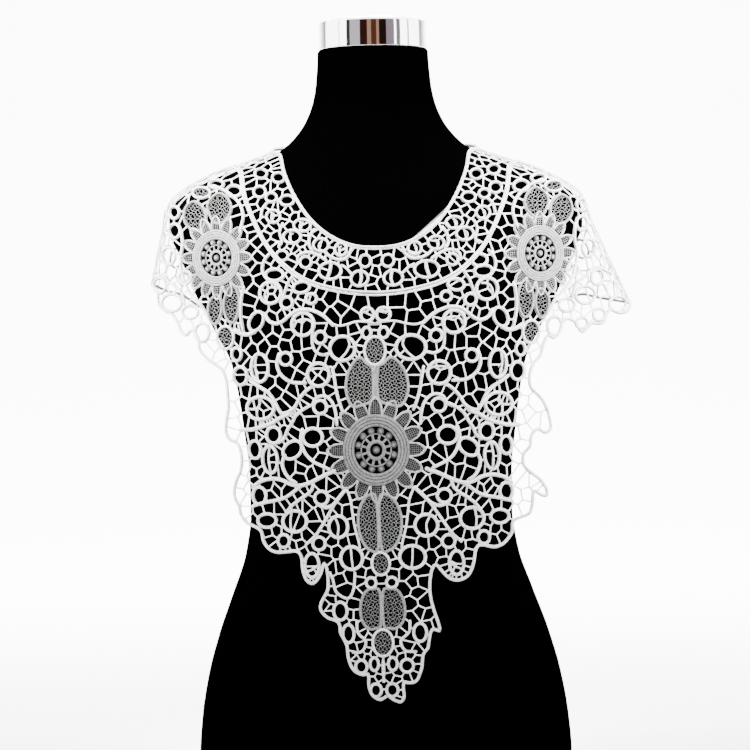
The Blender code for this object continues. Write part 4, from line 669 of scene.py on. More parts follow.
# ------------------------------------------------------------------------- meshes
def grid_faces(rows: int, cols: int, closed: bool = False) -> Array:
    """Faces between rings of points, the last ring joined to the first if closed."""
    i = np.arange(rows if closed else rows - 1)[:, None]
    j = np.arange(cols)[None, :]
    following, k = (i + 1) % rows, (j + 1) % cols
    return np.stack([i * cols + j, i * cols + k, following * cols + k, following * cols + j],
                    -1).reshape(-1, 4)


def place_object(name: str, data: bpy.types.ID) -> Object:
    """Make an object of a mesh, lamp or camera and put it into the scene."""
    obj = bpy.data.objects.new(name, data)
    bpy.context.scene.collection.objects.link(obj)
    return obj


@dataclass
class MeshMaker:
    """Gathers points and faces in millimetres and makes one object of them."""

    points: list[Array] = field(default_factory=list)
    faces: list[Array] = field(default_factory=list)
    coords: list[Array] = field(default_factory=list)
    count: int = 0

    def add(self, points: Array, faces: list[Array], coords: Array) -> None:
        """Add points, arrays of faces that index them, and a UV pair for each point."""
        self.points.append(points)
        self.coords.append(coords)
        self.faces += [np.asarray(f, int) + self.count for f in faces if len(f)]
        self.count += len(points)

    def tube(self, path: Array, up: Array, half: float, height: float, lift: float = 0.0,
             sides: int = 8, closed: bool = False) -> None:
        """Sweep a rounded, flattened tube along a path.

        Args:
            path: points on the path.
            up: normals of the cloth at those points.
            half: half width across the cloth.
            height: half height off the cloth.
            lift: how far its middle stands off the path.
            sides: sides of its section.
            closed: whether it joins its start.
        """
        n = len(path)
        if n < 3:
            return
        if closed:
            along = np.roll(path, -1, axis=0) - np.roll(path, 1, axis=0)
        else:
            along = np.gradient(path, axis=0)
        along = unit(along)
        across = unit(np.cross(along, up))
        rise = np.cross(across, along)
        size = np.ones(n)
        if not closed:
            size[0] = size[-1] = END_SIZE
        turn = all_round(sides)
        ring = (path[:, None, :] + rise[:, None, :] * lift
                + across[:, None, :] * (half * np.cos(turn))[None, :, None] * size[:, None, None]
                + rise[:, None, :] * (height * np.sin(turn))[None, :, None] * size[:, None, None])
        # Thread coordinates: length along the cord, and height round its section from 0 underneath
        # to CORD_TOP on top, by which the finish paints shade.
        uv = np.stack([run_length(path)[:, None] + 0.7 * half * np.cos(turn)[None, :],
                       np.repeat(CORD_TOP / 2 * (1.0 + np.sin(turn))[None], n, 0)], -1)
        faces = [grid_faces(n, sides, closed)[:, ::-1]]
        if not closed:
            faces += [np.arange(sides)[None, :], ((n - 1) * sides + np.arange(sides))[None, ::-1]]
        self.add(ring.reshape(-1, 3), faces, uv.reshape(-1, 2))

    def make(self, name: str, material: Material) -> Object:
        """Make the object.

        Args:
            name: its name.
            material: its finish.

        Returns:
            The new object, in metres.
        """
        mesh = bpy.data.meshes.new(name)
        points = np.vstack(self.points) * MM
        coords = np.vstack(self.coords)
        faces = [tuple(row) for block in self.faces for row in block.tolist()]
        mesh.from_pydata(points.tolist(), [], faces)
        layer = mesh.uv_layers.new(name="thread")
        order = np.empty(len(mesh.loops), np.int32)
        mesh.loops.foreach_get("vertex_index", order)
        layer.data.foreach_set("uv", (coords[order] * UV_SCALE).astype(np.float32).ravel())
        mesh.validate()
        mesh.shade_smooth()
        mesh.materials.append(material)
        return place_object(name, mesh)


# ----------------------------------------------------------------------- finishes
def socket_group(name: str, inputs: dict[str, tuple[str, float | tuple]],
                 outputs: dict[str, str]) -> Tree:
    """Make an empty shader node group with named sockets.

    Args:
        name: the group's name.
        inputs: socket kind and default by name.
        outputs: socket kind by name.

    Returns:
        The node tree, with its Group Input and Group Output placed.
    """
    tree = bpy.data.node_groups.new(name, "ShaderNodeTree")
    for label, (kind, default) in inputs.items():
        socket = tree.interface.new_socket(label, in_out="INPUT", socket_type=kind)
        socket.default_value = default
    for label, kind in outputs.items():
        tree.interface.new_socket(label, in_out="OUTPUT", socket_type=kind)
    tree.nodes.new("NodeGroupInput").name = "in"
    tree.nodes.new("NodeGroupOutput").name = "out"
    return tree


def set_inputs(tree: Tree, node: Node, values: dict) -> None:
    """Set a node's inputs, by name or number, from numbers, colours or sockets."""
    for label, value in values.items():
        if isinstance(value, Socket):
            tree.links.new(value, node.inputs[label])
        else:
            node.inputs[label].default_value = value


def add_node(tree: Tree, kind: str, values: dict | None = None,
             **settings: object) -> Node:
    """Place a shader node.

    Args:
        tree: where it goes.
        kind: its type, without "ShaderNode".
        values: its inputs, as for set_inputs.
        **settings: its properties, set before its inputs.

    Returns:
        The node.
    """
    node = tree.nodes.new("ShaderNode" + kind)
    for label, value in settings.items():
        setattr(node, label, value)
    set_inputs(tree, node, values or {})
    return node


def maths(tree: Tree, operation: str, *values: object) -> Socket:
    """Place a Math node, its inputs given as numbers or sockets, and return its output."""
    return add_node(tree, "Math", dict(enumerate(values)), operation=operation).outputs[0]


def blended(tree: Tree, share: object, first: object, second: object,
            **settings: object) -> Socket:
    """Place a colour mix between two colours or sockets and return its output."""
    colours = [(*c, 1.0) if isinstance(c, tuple) else c for c in (first, second)]
    return add_node(tree, "Mix", {"Factor": share, "A": colours[0], "B": colours[1]},
                    data_type="RGBA", **settings).outputs["Result"]


def new_material(name: str) -> tuple[Material, Tree, Node]:
    """Make a material and return it with its node tree and its shader."""
    material = bpy.data.materials.new(name)
    material.use_nodes = True
    return material, material.node_tree, material.node_tree.nodes["Principled BSDF"]


class ThreadWork:
    """Node groups shared by the threads: satin stitch across a cord, and fibre."""

    def __init__(self) -> None:
        """Build both groups once."""
        self.stitch = self._stitch_group()
        self.fibre = self._fibre_group()

    def _stitch_group(self) -> Tree:
        """Stripes of thread laid across a cord, with masks for painted shade: in the grooves
        between stitches, and down a cord's section towards its foot.
        """
        tree = socket_group(
            "satin_stitch",
            {"Per Centimetre": ("NodeSocketFloat", 22.0), "Wobble": ("NodeSocketFloat", 0.25)},
            {"Height": "NodeSocketFloat", "Groove Shade": "NodeSocketFloat",
             "Depth": "NodeSocketFloat"})
        given, out = tree.nodes["in"].outputs, tree.nodes["out"]
        uv = add_node(tree, "UVMap", uv_map="thread")
        split = add_node(tree, "SeparateXYZ", {0: uv.outputs["UV"]})
        coord = add_node(tree, "TexCoord")
        noise = add_node(tree, "TexNoise", {"Scale": 1400.0, "Vector": coord.outputs["Object"]})
        jitter = maths(tree, "MULTIPLY", noise.outputs["Fac"], given["Wobble"])
        phase = maths(tree, "MULTIPLY", split.outputs["X"], given["Per Centimetre"])
        phase = maths(tree, "MULTIPLY", maths(tree, "ADD", phase, jitter), 2 * math.pi)
        height = maths(tree, "MULTIPLY_ADD", maths(tree, "SINE", phase), 0.5, 0.5)
        set_inputs(tree, out, {
            "Height": height,
            "Groove Shade": maths(tree, "POWER", maths(tree, "SUBTRACT", 1.0, height), 3.0),
            "Depth": maths(tree, "SUBTRACT", 1.0, split.outputs["Y"])})
        return tree

    def _fibre_group(self) -> Tree:
        """Fine fuzz and slow unevenness of cotton thread."""
        tree = socket_group(
            "cotton_fibre",
            {"Fine": ("NodeSocketFloat", 2600.0), "Broad": ("NodeSocketFloat", 650.0)},
            {"Fuzz": "NodeSocketFloat", "Patch": "NodeSocketFloat"})
        coord = add_node(tree, "TexCoord")
        for label, out in (("Fine", "Fuzz"), ("Broad", "Patch")):
            noise = add_node(tree, "TexNoise", {
                "Detail": 3.0, "Vector": coord.outputs["Object"],
                "Scale": tree.nodes["in"].outputs[label]})
            set_inputs(tree, tree.nodes["out"], {out: noise.outputs["Fac"]})
        return tree


@dataclass(frozen=True)
class ThreadFinish:
    """White cotton thread: cords, bars, net or petal filling."""

    name: str
    light: tuple[float, float, float] = (0.88, 0.88, 0.88)
    # Dark tone that the painted shade in the stitch grooves and down each cord's section mixes
    # towards, as do random darker patches of cotton.
    shade: tuple[float, float, float] = (0.16, 0.16, 0.16)
    roughness: float = 0.78
    stitches: float = 16.0
    relief: float = 0.00015
    # Share of painted shade in the grooves between stitches.
    groove_shade: float = 0.30
    grain: float = 0.55
    # Share of painted shade down a cord's section, from none on top to most at its foot and
    # underside.
    edge: float = 2.4
    sheen: float = 0.04
    specular: float = 0.06

    def make(self, work: ThreadWork) -> Material:
        """Build the material from the shared groups, with painted shade in the stitch grooves and
        down each cord's section towards its foot, and random darker patches of cotton.
        """
        material, tree, shader = new_material(self.name)
        stitch = add_node(tree, "Group", {"Per Centimetre": self.stitches},
                          node_tree=work.stitch).outputs
        fibre = add_node(tree, "Group", node_tree=work.fibre).outputs
        patch = maths(tree, "MULTIPLY_ADD", fibre["Patch"], 3.0, -1.1)
        patch = maths(tree, "MINIMUM", maths(tree, "MAXIMUM", patch, 0.0), 1.0)
        depth = maths(tree, "POWER", maths(tree, "MAXIMUM", stitch["Depth"], 0.0), 1.5)
        # Mix share towards the dark tone: painted shade in the stitch grooves and down each cord's
        # section, and random darker patches of cotton.
        dark = maths(tree, "MULTIPLY", stitch["Groove Shade"], self.groove_shade)
        for mask, share in ((patch, self.grain), (depth, self.edge)):
            dark = maths(tree, "ADD", dark, maths(tree, "MULTIPLY", mask, share))
        bump = add_node(tree, "Bump", {
            "Distance": self.relief, "Strength": 0.8,
            "Height": maths(tree, "MULTIPLY_ADD", fibre["Fuzz"], 0.5, stitch["Height"])})
        set_inputs(tree, shader, {
            "Sheen Weight": self.sheen, "Sheen Roughness": 0.5,
            "Specular IOR Level": self.specular,
            "Base Color": blended(tree, dark, self.light, self.shade, clamp_factor=True),
            "Roughness": maths(tree, "MULTIPLY_ADD", fibre["Fuzz"], 0.2, self.roughness - 0.1),
            "Normal": bump.outputs["Normal"]})
        return material


@dataclass(frozen=True)
class JerseyFinish:
    """Matt black stretch jersey of the form."""

    name: str = "form_jersey"
    colour: tuple[float, float, float] = (0.00012, 0.00012, 0.00013)

    def make(self, work: ThreadWork) -> Material:
        """Build the material: a fine knit and a faint nap."""
        material, tree, shader = new_material(self.name)
        fibre = add_node(tree, "Group", {"Fine": 1500.0, "Broad": 25.0},
                         node_tree=work.fibre).outputs
        wave = add_node(tree, "TexWave", {
            "Scale": 160.0, "Distortion": 0.6,
            "Vector": add_node(tree, "TexCoord").outputs["Object"]})
        bump = add_node(tree, "Bump", {
            "Distance": 0.0002, "Strength": 0.5,
            "Height": maths(tree, "ADD", wave.outputs["Fac"], fibre["Fuzz"])})
        set_inputs(tree, shader, {
            "Specular IOR Level": 0.0,
            "Base Color": blended(tree, fibre["Patch"], self.colour,
                                  tuple(c * 1.8 for c in self.colour)),
            "Roughness": maths(tree, "MULTIPLY_ADD", fibre["Fuzz"], 0.15, 0.8),
            "Normal": bump.outputs["Normal"]})
        return material


@dataclass(frozen=True)
class ChromeFinish:
    """Polished chrome of uneven gloss."""

    name: str = "cap_chrome"
    bright: tuple[float, float, float] = (0.93, 0.93, 0.94)
    dull: tuple[float, float, float] = (0.84, 0.84, 0.86)

    def make(self, work: ThreadWork) -> Material:
        """Build the material: bright metal, a little duller in patches."""
        material, tree, shader = new_material(self.name)
        patch = add_node(tree, "Group", {"Fine": 400.0, "Broad": 30.0},
                         node_tree=work.fibre).outputs["Patch"]
        set_inputs(tree, shader, {
            "Metallic": 1.0, "Base Color": blended(tree, patch, self.bright, self.dull),
            "Roughness": maths(tree, "MULTIPLY_ADD", patch, 0.05, 0.03)})
        return material


# --------------------------------------------------------------- the dress form
@dataclass
class DressForm:
    """The padded form and its turned cap."""

    sides: int = 160
    rows: int = 150
    base_round: float = 2.0   # rounding of its lower edge
    rim_round: float = 3.6    # of the cap's top rim
    lip_round: float = 0.8    # and of its lower lip

    def build_torso(self, material: Material) -> Object:
        """Loft the form smoothly from its base to the neck."""
        heights = np.concatenate([[0.0], np.linspace(self.base_round, NECK_TOP - 1.5, self.rows),
                                  [NECK_TOP]])
        inset = np.zeros(len(heights))
        inset[0], inset[-1] = self.base_round * 0.7, 1.2
        angle = all_round(self.sides)
        rings = []
        for z, pull in zip(heights, inset):
            r = form_radius(angle, np.full(self.sides, z)) - pull
            rings.append(np.column_stack([r * np.sin(angle), -r * np.cos(angle),
                                          np.full(self.sides, z)]))
        maker = MeshMaker()
        ends = np.arange(self.sides)
        points = np.vstack(rings)
        coords = np.column_stack([np.arctan2(points[:, 0], -points[:, 1]) * 100, points[:, 2]])
        maker.add(points, [grid_faces(len(heights), self.sides), ends[None, ::-1],
                           (len(points) - self.sides + ends)[None]], coords)
        obj = maker.make("form_body", material)
        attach(obj, "root")
        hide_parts("form_torso")
        return obj

    def build_cap(self, material: Material) -> Object:
        """Turn the cap with a rolled lower edge and a soft top rim."""
        profile = [(0.0, CAP_TOP), (30.0, CAP_TOP - 0.3), (42.0, CAP_TOP - 1.0)]
        for t in np.linspace(0.0, 1.0, 9):
            a = math.radians(90.0 * t)
            profile.append((CAP_RADIUS - self.rim_round + self.rim_round * math.sin(a),
                            CAP_TOP - 4.8 + self.rim_round * math.cos(a)))
        profile += [(CAP_RADIUS, CAP_TOP - 14.0), (CAP_RADIUS, NECK_TOP + 1.6)]
        for t in np.linspace(0.0, 1.0, 5):
            a = math.radians(90.0 * t)
            profile.append((CAP_RADIUS - self.lip_round + self.lip_round * math.cos(a),
                            NECK_TOP + 1.2 - self.lip_round * math.sin(a)))
        profile.append((0.0, NECK_TOP + 0.4))
        mesh = bpy.data.meshes.new("form_cap")
        points = [(r * MM, 0.0, z * MM) for r, z in profile]
        mesh.from_pydata(points, [(i, i + 1) for i in range(len(points) - 1)], [])
        mesh.materials.append(material)
        obj = place_object("form_cap", mesh)
        screw = obj.modifiers.new("turn", "SCREW")
        screw.steps = screw.render_steps = 128
        screw.use_merge_vertices = True
        screw.merge_threshold = 0.00005
        screw.use_smooth_shade = True
        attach(obj, "root")
        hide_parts("form_neck_cap")
        return obj


# ---------------------------------------------------------------------- the lace
@dataclass
class Cord:
    """One cord of the design: where it runs and how thick it is."""

    params: Array
    half: float
    closed: bool = False
    height: float = 1.0
    lift: float = 0.25
    drawn: bool = True
    of_net: bool = False


@dataclass
class Gap:
    """One hole in the ground, by its flat outline."""

    ring: Array
    centre: Array


@dataclass
class Layout:
    """The cords of one piece, with a quick way to ask how near one is."""

    cloth: ClothSurface
    cords: list[Cord] = field(default_factory=list)
    widths: list[float] = field(default_factory=list)
    tree: kdtree.KDTree | None = None

    def add(self, params: Array, half: float, **options: object) -> None:
        """Add a cord through angle and depth pairs."""
        self.cords.append(Cord(params, half, **options))

    def add_front(self, points: Array, half: float, room: Array | None = None,
                  **options: object) -> bool:
        """Add a cord as it shows from the front.

        Args:
            points: where it runs.
            half: its half width.
            room: flat outline that most of it must lie in.
            **options: the other values of a cord.

        Returns:
            Whether it was added.
        """
        params = self.cloth.from_front(np.asarray(points, float))
        if room is not None:
            within = inside(flat(params), room)
            if within.mean() < 0.8:
                return False
            if not options.get("closed"):
                params = params[within]
        self.add(params, half, **options)
        return True

    def add_round(self, degrees: float, depth: float, radius: float,
                  half: float = 1.35) -> None:
        """Add a ring that is round on the cloth itself."""
        at = wrap(np.array([[math.radians(degrees), depth]]))
        centre, n = self.cloth.point(at)[0], self.cloth.normal(at)[0]
        e1 = np.cross((0.0, 0.0, 1.0), n)
        e1 /= np.linalg.norm(e1)
        e2 = np.cross(n, e1)
        a = all_round(28)
        ring = centre + radius * (np.outer(np.cos(a), e1) + np.outer(np.sin(a), e2))
        self.add(self.cloth.locate(ring), half, closed=True)

    def path(self, cord: Cord) -> Array:
        """Points along a cord, back to its start if it is closed."""
        path = self.cloth.point(cord.params)
        return np.vstack([path, path[:1]]) if cord.closed else path

    def index(self) -> None:
        """Make the search tree from fine samples of every cord."""
        samples: list[Array] = []
        for cord in self.cords:
            path = self.path(cord)
            for a, b in zip(path, path[1:]):
                count = max(1, int(np.linalg.norm(b - a) / 0.8))
                for t in np.arange(count) / count:
                    samples.append(a + (b - a) * t)
                    self.widths.append(cord.half)
        self.tree = search_tree(samples)

    def clearance(self, points: Array) -> Array:
        """Free distance from each point to the nearest cord's edge."""
        out = np.empty(len(points))
        for i, p in enumerate(points):
            _, k, d = self.tree.find(Vector(p))
            out[i] = d - self.widths[k]
        return out


# Corners of a lattice square that are open, and the sides that an edge line crosses:
# 0 top, 1 right, 2 bottom, 3 left.
CROSSINGS: dict[int, tuple[tuple[int, int], ...]] = {
    1: ((3, 0),), 2: ((0, 1),), 3: ((3, 1),), 4: ((1, 2),), 5: ((3, 0), (1, 2)),
    6: ((0, 2),), 7: ((3, 2),), 8: ((2, 3),), 9: ((2, 0),), 10: ((0, 1), (2, 3)),
    11: ((2, 1),), 12: ((1, 3),), 13: ((1, 0),), 14: ((0, 3),),
}


def trace_edges(value: Array) -> list[Array]:
    """Follow the lines where a lattice of values passes through nought.

    Args:
        value: values at the lattice points, below nought all round.

    Returns:
        Closed lines, as row and column positions.
    """
    above = value > 0
    code = (above[:-1, :-1] * 1 + above[:-1, 1:] * 2 + above[1:, 1:] * 4 + above[1:, :-1] * 8)
    follow: dict[tuple[int, int, int], tuple[int, int, int]] = {}
    for i, j in np.argwhere((code > 0) & (code < 15)).tolist():
        sides = ((0, i, j), (1, i, j + 1), (0, i + 1, j), (1, i, j))
        for start, end in CROSSINGS[int(code[i, j])]:
            follow[sides[start]] = sides[end]
    lines = []
    while follow:
        first, at = follow.popitem()
        line = [first]
        while at != first:
            line.append(at)
            at = follow.pop(at)
        kind, i, j = np.array(line).T
        a, b = value[i, j], value[i + kind, j + 1 - kind]
        t = np.clip(a / (a - b), 0.02, 0.98)
        lines.append(np.column_stack([i + t * kind, j + t * (1 - kind)]))
    return lines


def keep_corners(line: Array, slack: float) -> Array:
    """Leave out the points of a closed line that lie within a slack of their chords."""
    far = int(np.argmax(np.linalg.norm(line - line[0], axis=1)))
    ends = np.vstack([line, line[:1]])
    keep = {0, far}
    spans = [(0, far), (far, len(line))]
    while spans:
        a, b = spans.pop()
        if b - a < 2:
            continue
        chord = ends[b] - ends[a]
        size = max(float(np.hypot(*chord)), 1e-9)
        away = ends[a + 1:b] - ends[a]
        off = np.abs(away[:, 0] * chord[1] - away[:, 1] * chord[0]) / size
        k = int(np.argmax(off))
        if off[k] > slack:
            keep.add(a + 1 + k)
            spans += [(a, a + 1 + k), (a + 1 + k, b)]
    return np.array(sorted(keep))


class Lattice:
    """A fine lattice over a piece of lace, with the free distance at every point."""

    AXIS_DISTANCE = 130.0   # how far from the neck axis its squares are even
    OPEN = 0.35             # free distance from which a point can be a centre
    OUTSIDE = -0.3          # value beyond a cell
    SMALL = 130.0           # pockets of a smaller area hold one gap
    SHALLOW = 7.5           # so do round ones whose free distance is less
    WIDE = 3.2              # spacing of centres for each mm of free distance
    TIP = ((150, 320), (0.8, 1))   # heights that it shrinks between, and how far
    FAR = 1e9               # longer than any way

    def __init__(self, layout: Layout, outline: Array, closed: list[Array], grain: float,
                 tuck: float) -> None:
        """Lay the lattice out.

        Args:
            layout: the cords, indexed.
            outline: the piece's flat outline.
            closed: flat outlines where the ground is closed.
            grain: spacing of the lattice.
            tuck: how far a gap runs under the edge of a cord.
        """
        params = unflat(outline)
        turn = params[:, 0]
        if np.abs(turn).max() > math.pi / 2 + 0.05:
            turn = turn % (2 * math.pi)
        self.grain = grain
        self.start = np.array([params[:, 1].min(), turn.min()])
        self.step = np.array([grain, grain / self.AXIS_DISTANCE])
        rows = np.arange(self.start[0], params[:, 1].max(), self.step[0])
        cols = np.arange(self.start[1], turn.max(), self.step[1])
        shape = (len(rows), len(cols))
        aa, ss = np.meshgrid(cols, rows)
        lattice = wrap(np.column_stack([aa.ravel(), ss.ravel()]))
        spots = flat(lattice)
        keep = inside(spots, outline)
        for area in closed:
            keep &= ~inside_box(spots, area)
        ringed = np.zeros(len(spots), bool)
        for cord in layout.cords:
            ring = flat(cord.params)
            if cord.closed and np.ptp(ring, axis=0).max() < RING_LIMIT:
                ringed |= inside_box(spots, ring)
        self.ringed = ringed.reshape(shape)
        world = layout.cloth.point(lattice)
        free = np.full(len(spots), -1.0)
        free[keep] = layout.clearance(world[keep]) + tuck
        self.world, self.free = world.reshape(shape + (3,)), free.reshape(shape)
        self.free[:2] = self.free[-2:] = -1.0
        self.free[:, :2] = self.free[:, -2:] = -1.0

    def owners(self, world: Array, free: Array, spots: Array) -> Array:
        """Give each open point to the nearest centre that it is joined to.

        Args:
            world: positions of the lattice points.
            free: which of them are open.
            spots: row and column of every centre.

        Returns:
            The centre's number at each point, or -1.
        """
        owner, dist = np.full(free.shape, -1), np.full(free.shape, np.inf)
        centres = world[spots[:, 0], spots[:, 1]]
        owner[spots[:, 0], spots[:, 1]] = np.arange(len(spots))
        dist[spots[:, 0], spots[:, 1]] = 0.0
        rows, cols = free.shape
        ways = [(i, j) for i in (-1, 0, 1) for j in (-1, 0, 1) if i or j]
        changed = True
        while changed:
            changed = False
            for di, dj in ways:
                here = owner[max(di, 0):rows + min(di, 0), max(dj, 0):cols + min(dj, 0)]
                there = owner[max(-di, 0):rows - max(di, 0), max(-dj, 0):cols - max(dj, 0)]
                is_open = free[max(di, 0):rows + min(di, 0), max(dj, 0):cols + min(dj, 0)]
                i, j = np.nonzero(is_open & (there >= 0) & (there != here))
                who = there[i, j]
                i, j = i + max(di, 0), j + max(dj, 0)
                d = np.linalg.norm(world[i, j] - centres[who], axis=1)
                nearer = d < dist[i, j]
                i, j, who = i[nearer], j[nearer], who[nearer]
                owner[i, j], dist[i, j] = who, d[nearer]
                changed = changed or len(i) > 0
        return owner

    def centres(self, pitch: float, close: float, share: float, rounds: int = 3) -> Array:
        """Choose cell centres, each as far as can be from the others along open ways.

        Args:
            pitch: spacing of centres in wide places.
            close: spacing of centres in narrow places.
            share: part of the spacing that a point may lie from its centre.
            rounds: how often the centres are evened out.

        Returns:
            Row and column of every centre.
        """
        free, world = self.free[::2, ::2], self.world[::2, ::2]
        rows, cols = free.shape
        wide = free.copy()
        for _ in range(4):
            pad = np.pad(wide, 1, constant_values=-1.0)
            near = [pad[i:i + rows, j:j + cols] for i in range(3) for j in range(3)]
            wide = np.where(free > 0, np.max(near, axis=0), free)
        want = np.clip(self.WIDE * wide, close, pitch)
        want = (want * np.interp(world[..., 2], *self.TIP)).ravel()
        size = np.linalg.norm(world[:, 1:] - world[:, :-1], axis=2)
        across = np.pad(size, ((0, 0), (0, 1)), mode="edge").ravel().tolist()
        down = 2 * self.grain
        is_open = (free > self.OPEN).ravel().tolist()
        pocket = self._pockets(is_open, cols)
        held = pocket >= 0
        area = np.bincount(pocket[held], np.array(across)[held] * down)
        deepest = np.full(len(area), 0.0)
        np.maximum.at(deepest, pocket[held], free.ravel()[held])
        single = (area < 2.0 * math.pi * (deepest + 0.6) ** 2) & (deepest < self.SHALLOW)
        single |= area < self.SMALL
        ringed = self.ringed[::2, ::2].ravel()[held]
        single |= np.bincount(pocket[held], ringed) > 0.8 * np.bincount(pocket[held])
        reach = [self.FAR] * (rows * cols)
        ratio = np.where(is_open, 1e6 + free.ravel(), -1.0)
        chosen = []
        while True:
            k = int(np.argmax(ratio))
            if ratio[k] < share:
                break
            chosen.append(k)
            if single[pocket[k]]:
                ratio[pocket == pocket[k]] = 0.0
                continue
            touched = self._walk(k, reach, is_open, across, down, cols, 3 * pitch)
            ratio[touched] = np.array([reach[p] for p in touched]) / want[touched]
        spots = np.column_stack([np.array(chosen) // cols, np.array(chosen) % cols])
        for _ in range(rounds):
            owner = self.owners(world, free > self.OPEN, spots)
            held = owner >= 0
            number = np.bincount(owner[held], minlength=len(spots))
            middle = np.column_stack([
                np.bincount(owner[held], world[held][:, k], len(spots)) for k in range(3)])
            middle /= np.maximum(number, 1)[:, None]
            i, j = np.nonzero(held)
            off = np.linalg.norm(world[i, j] - middle[owner[i, j]], axis=1)
            order = np.lexsort((off, owner[i, j]))
            _, first = np.unique(owner[i, j][order], return_index=True)
            spots = np.column_stack([i[order][first], j[order][first]])
        return spots * 2

    @staticmethod
    def _pockets(is_open: list[bool], cols: int) -> Array:
        """Number the open places that are joined."""
        pocket = [-1] * len(is_open)
        number = 0
        for start, free in enumerate(is_open):
            if not free or pocket[start] >= 0:
                continue
            pocket[start] = number
            stack = [start]
            while stack:
                p = stack.pop()
                for q in (p + 1, p - 1, p + cols, p - cols):
                    if is_open[q] and pocket[q] < 0:
                        pocket[q] = number
                        stack.append(q)
            number += 1
        return np.array(pocket)

    @staticmethod
    def _walk(start: int, reach: list[float], is_open: list[bool], across: list[float],
              down: float, cols: int, limit: float) -> list[int]:
        """Measure the way from a centre to the open points round it."""
        reach[start] = 0.0
        heap, touched = [(0.0, start)], []
        while heap:
            d, p = heapq.heappop(heap)
            if d > reach[p] or d > limit:
                continue
            touched.append(p)
            side = across[p]
            slant = math.hypot(side, down)
            for i, j, size in ((0, 1, side), (0, -1, side), (cols, 0, down), (-cols, 0, down),
                               (cols, 1, slant), (cols, -1, slant), (-cols, 1, slant),
                               (-cols, -1, slant)):
                q = p + i + j
                if (is_open[q] and d + size < reach[q]
                        and is_open[p + i] and is_open[p + j]):
                    reach[q] = d + size
                    heapq.heappush(heap, (d + size, q))
        return touched

    def add_missed(self, owner: Array, spots: Array) -> Array:
        """Give every open pocket that no centre reaches one of its own.

        Args:
            owner: the cell's number at each lattice point.
            spots: row and column of every centre.

        Returns:
            The centres with the added ones.
        """
        missed = (self.free > 0) & (owner < 0)
        pocket = self._pockets(missed.ravel().tolist(), self.free.shape[1])
        order = np.lexsort((-self.free.ravel(), pocket))
        numbers, first = np.unique(pocket[order], return_index=True)
        extra = order[first][numbers >= 0]
        cols = self.free.shape[1]
        return np.vstack([spots, np.column_stack([extra // cols, extra % cols])])

    @staticmethod
    def neighbours(owner: Array, count: int) -> list[set[int]]:
        """Find which cells meet in the open."""
        out: list[set[int]] = [set() for _ in range(count)]
        for here, there in ((owner[1:], owner[:-1]), (owner[:, 1:], owner[:, :-1])):
            meet = (here >= 0) & (there >= 0) & (here != there)
            for a, b in set(zip(here[meet].tolist(), there[meet].tolist())):
                out[a].add(b)
                out[b].add(a)
        return out

    def cell(self, k: int, owner: Array, centres: Array, beside: set[int],
             bar_half: float) -> list[Array]:
        """Edge lines of one cell: up to the cords, and to the bars beside its neighbours.

        Args:
            k: number of the cell.
            owner: the cell's number at each lattice point.
            centres: positions of the cells' centres.
            beside: the cells that it meets in the open.
            bar_half: half width of a bar.

        Returns:
            Closed lines, as depth and turn.
        """
        i, j = np.nonzero(owner == k)
        low = np.array([i.min() - 2, j.min() - 2])
        window = (slice(low[0], i.max() + 3), slice(low[1], j.max() + 3))
        own, world, free = owner[window], self.world[window], self.free[window]
        mine = own == k
        value = np.where(mine | (free < 0), free, self.OUTSIDE)
        to_me = ((world - centres[k]) ** 2).sum(axis=2)
        for other in sorted(beside):
            apart = np.linalg.norm(centres[other] - centres[k])
            to_it = ((world - centres[other]) ** 2).sum(axis=2)
            plane = (to_it - to_me) / (2 * apart)
            value = np.where(mine & (plane > -1e-6), np.minimum(value, plane - bar_half), value)
            value = np.where(own == other, plane - bar_half, value)
        value[:1] = value[-1:] = self.OUTSIDE
        value[:, :1] = value[:, -1:] = self.OUTSIDE
        return [self.start + (line + low) * self.step for line in trace_edges(value)]


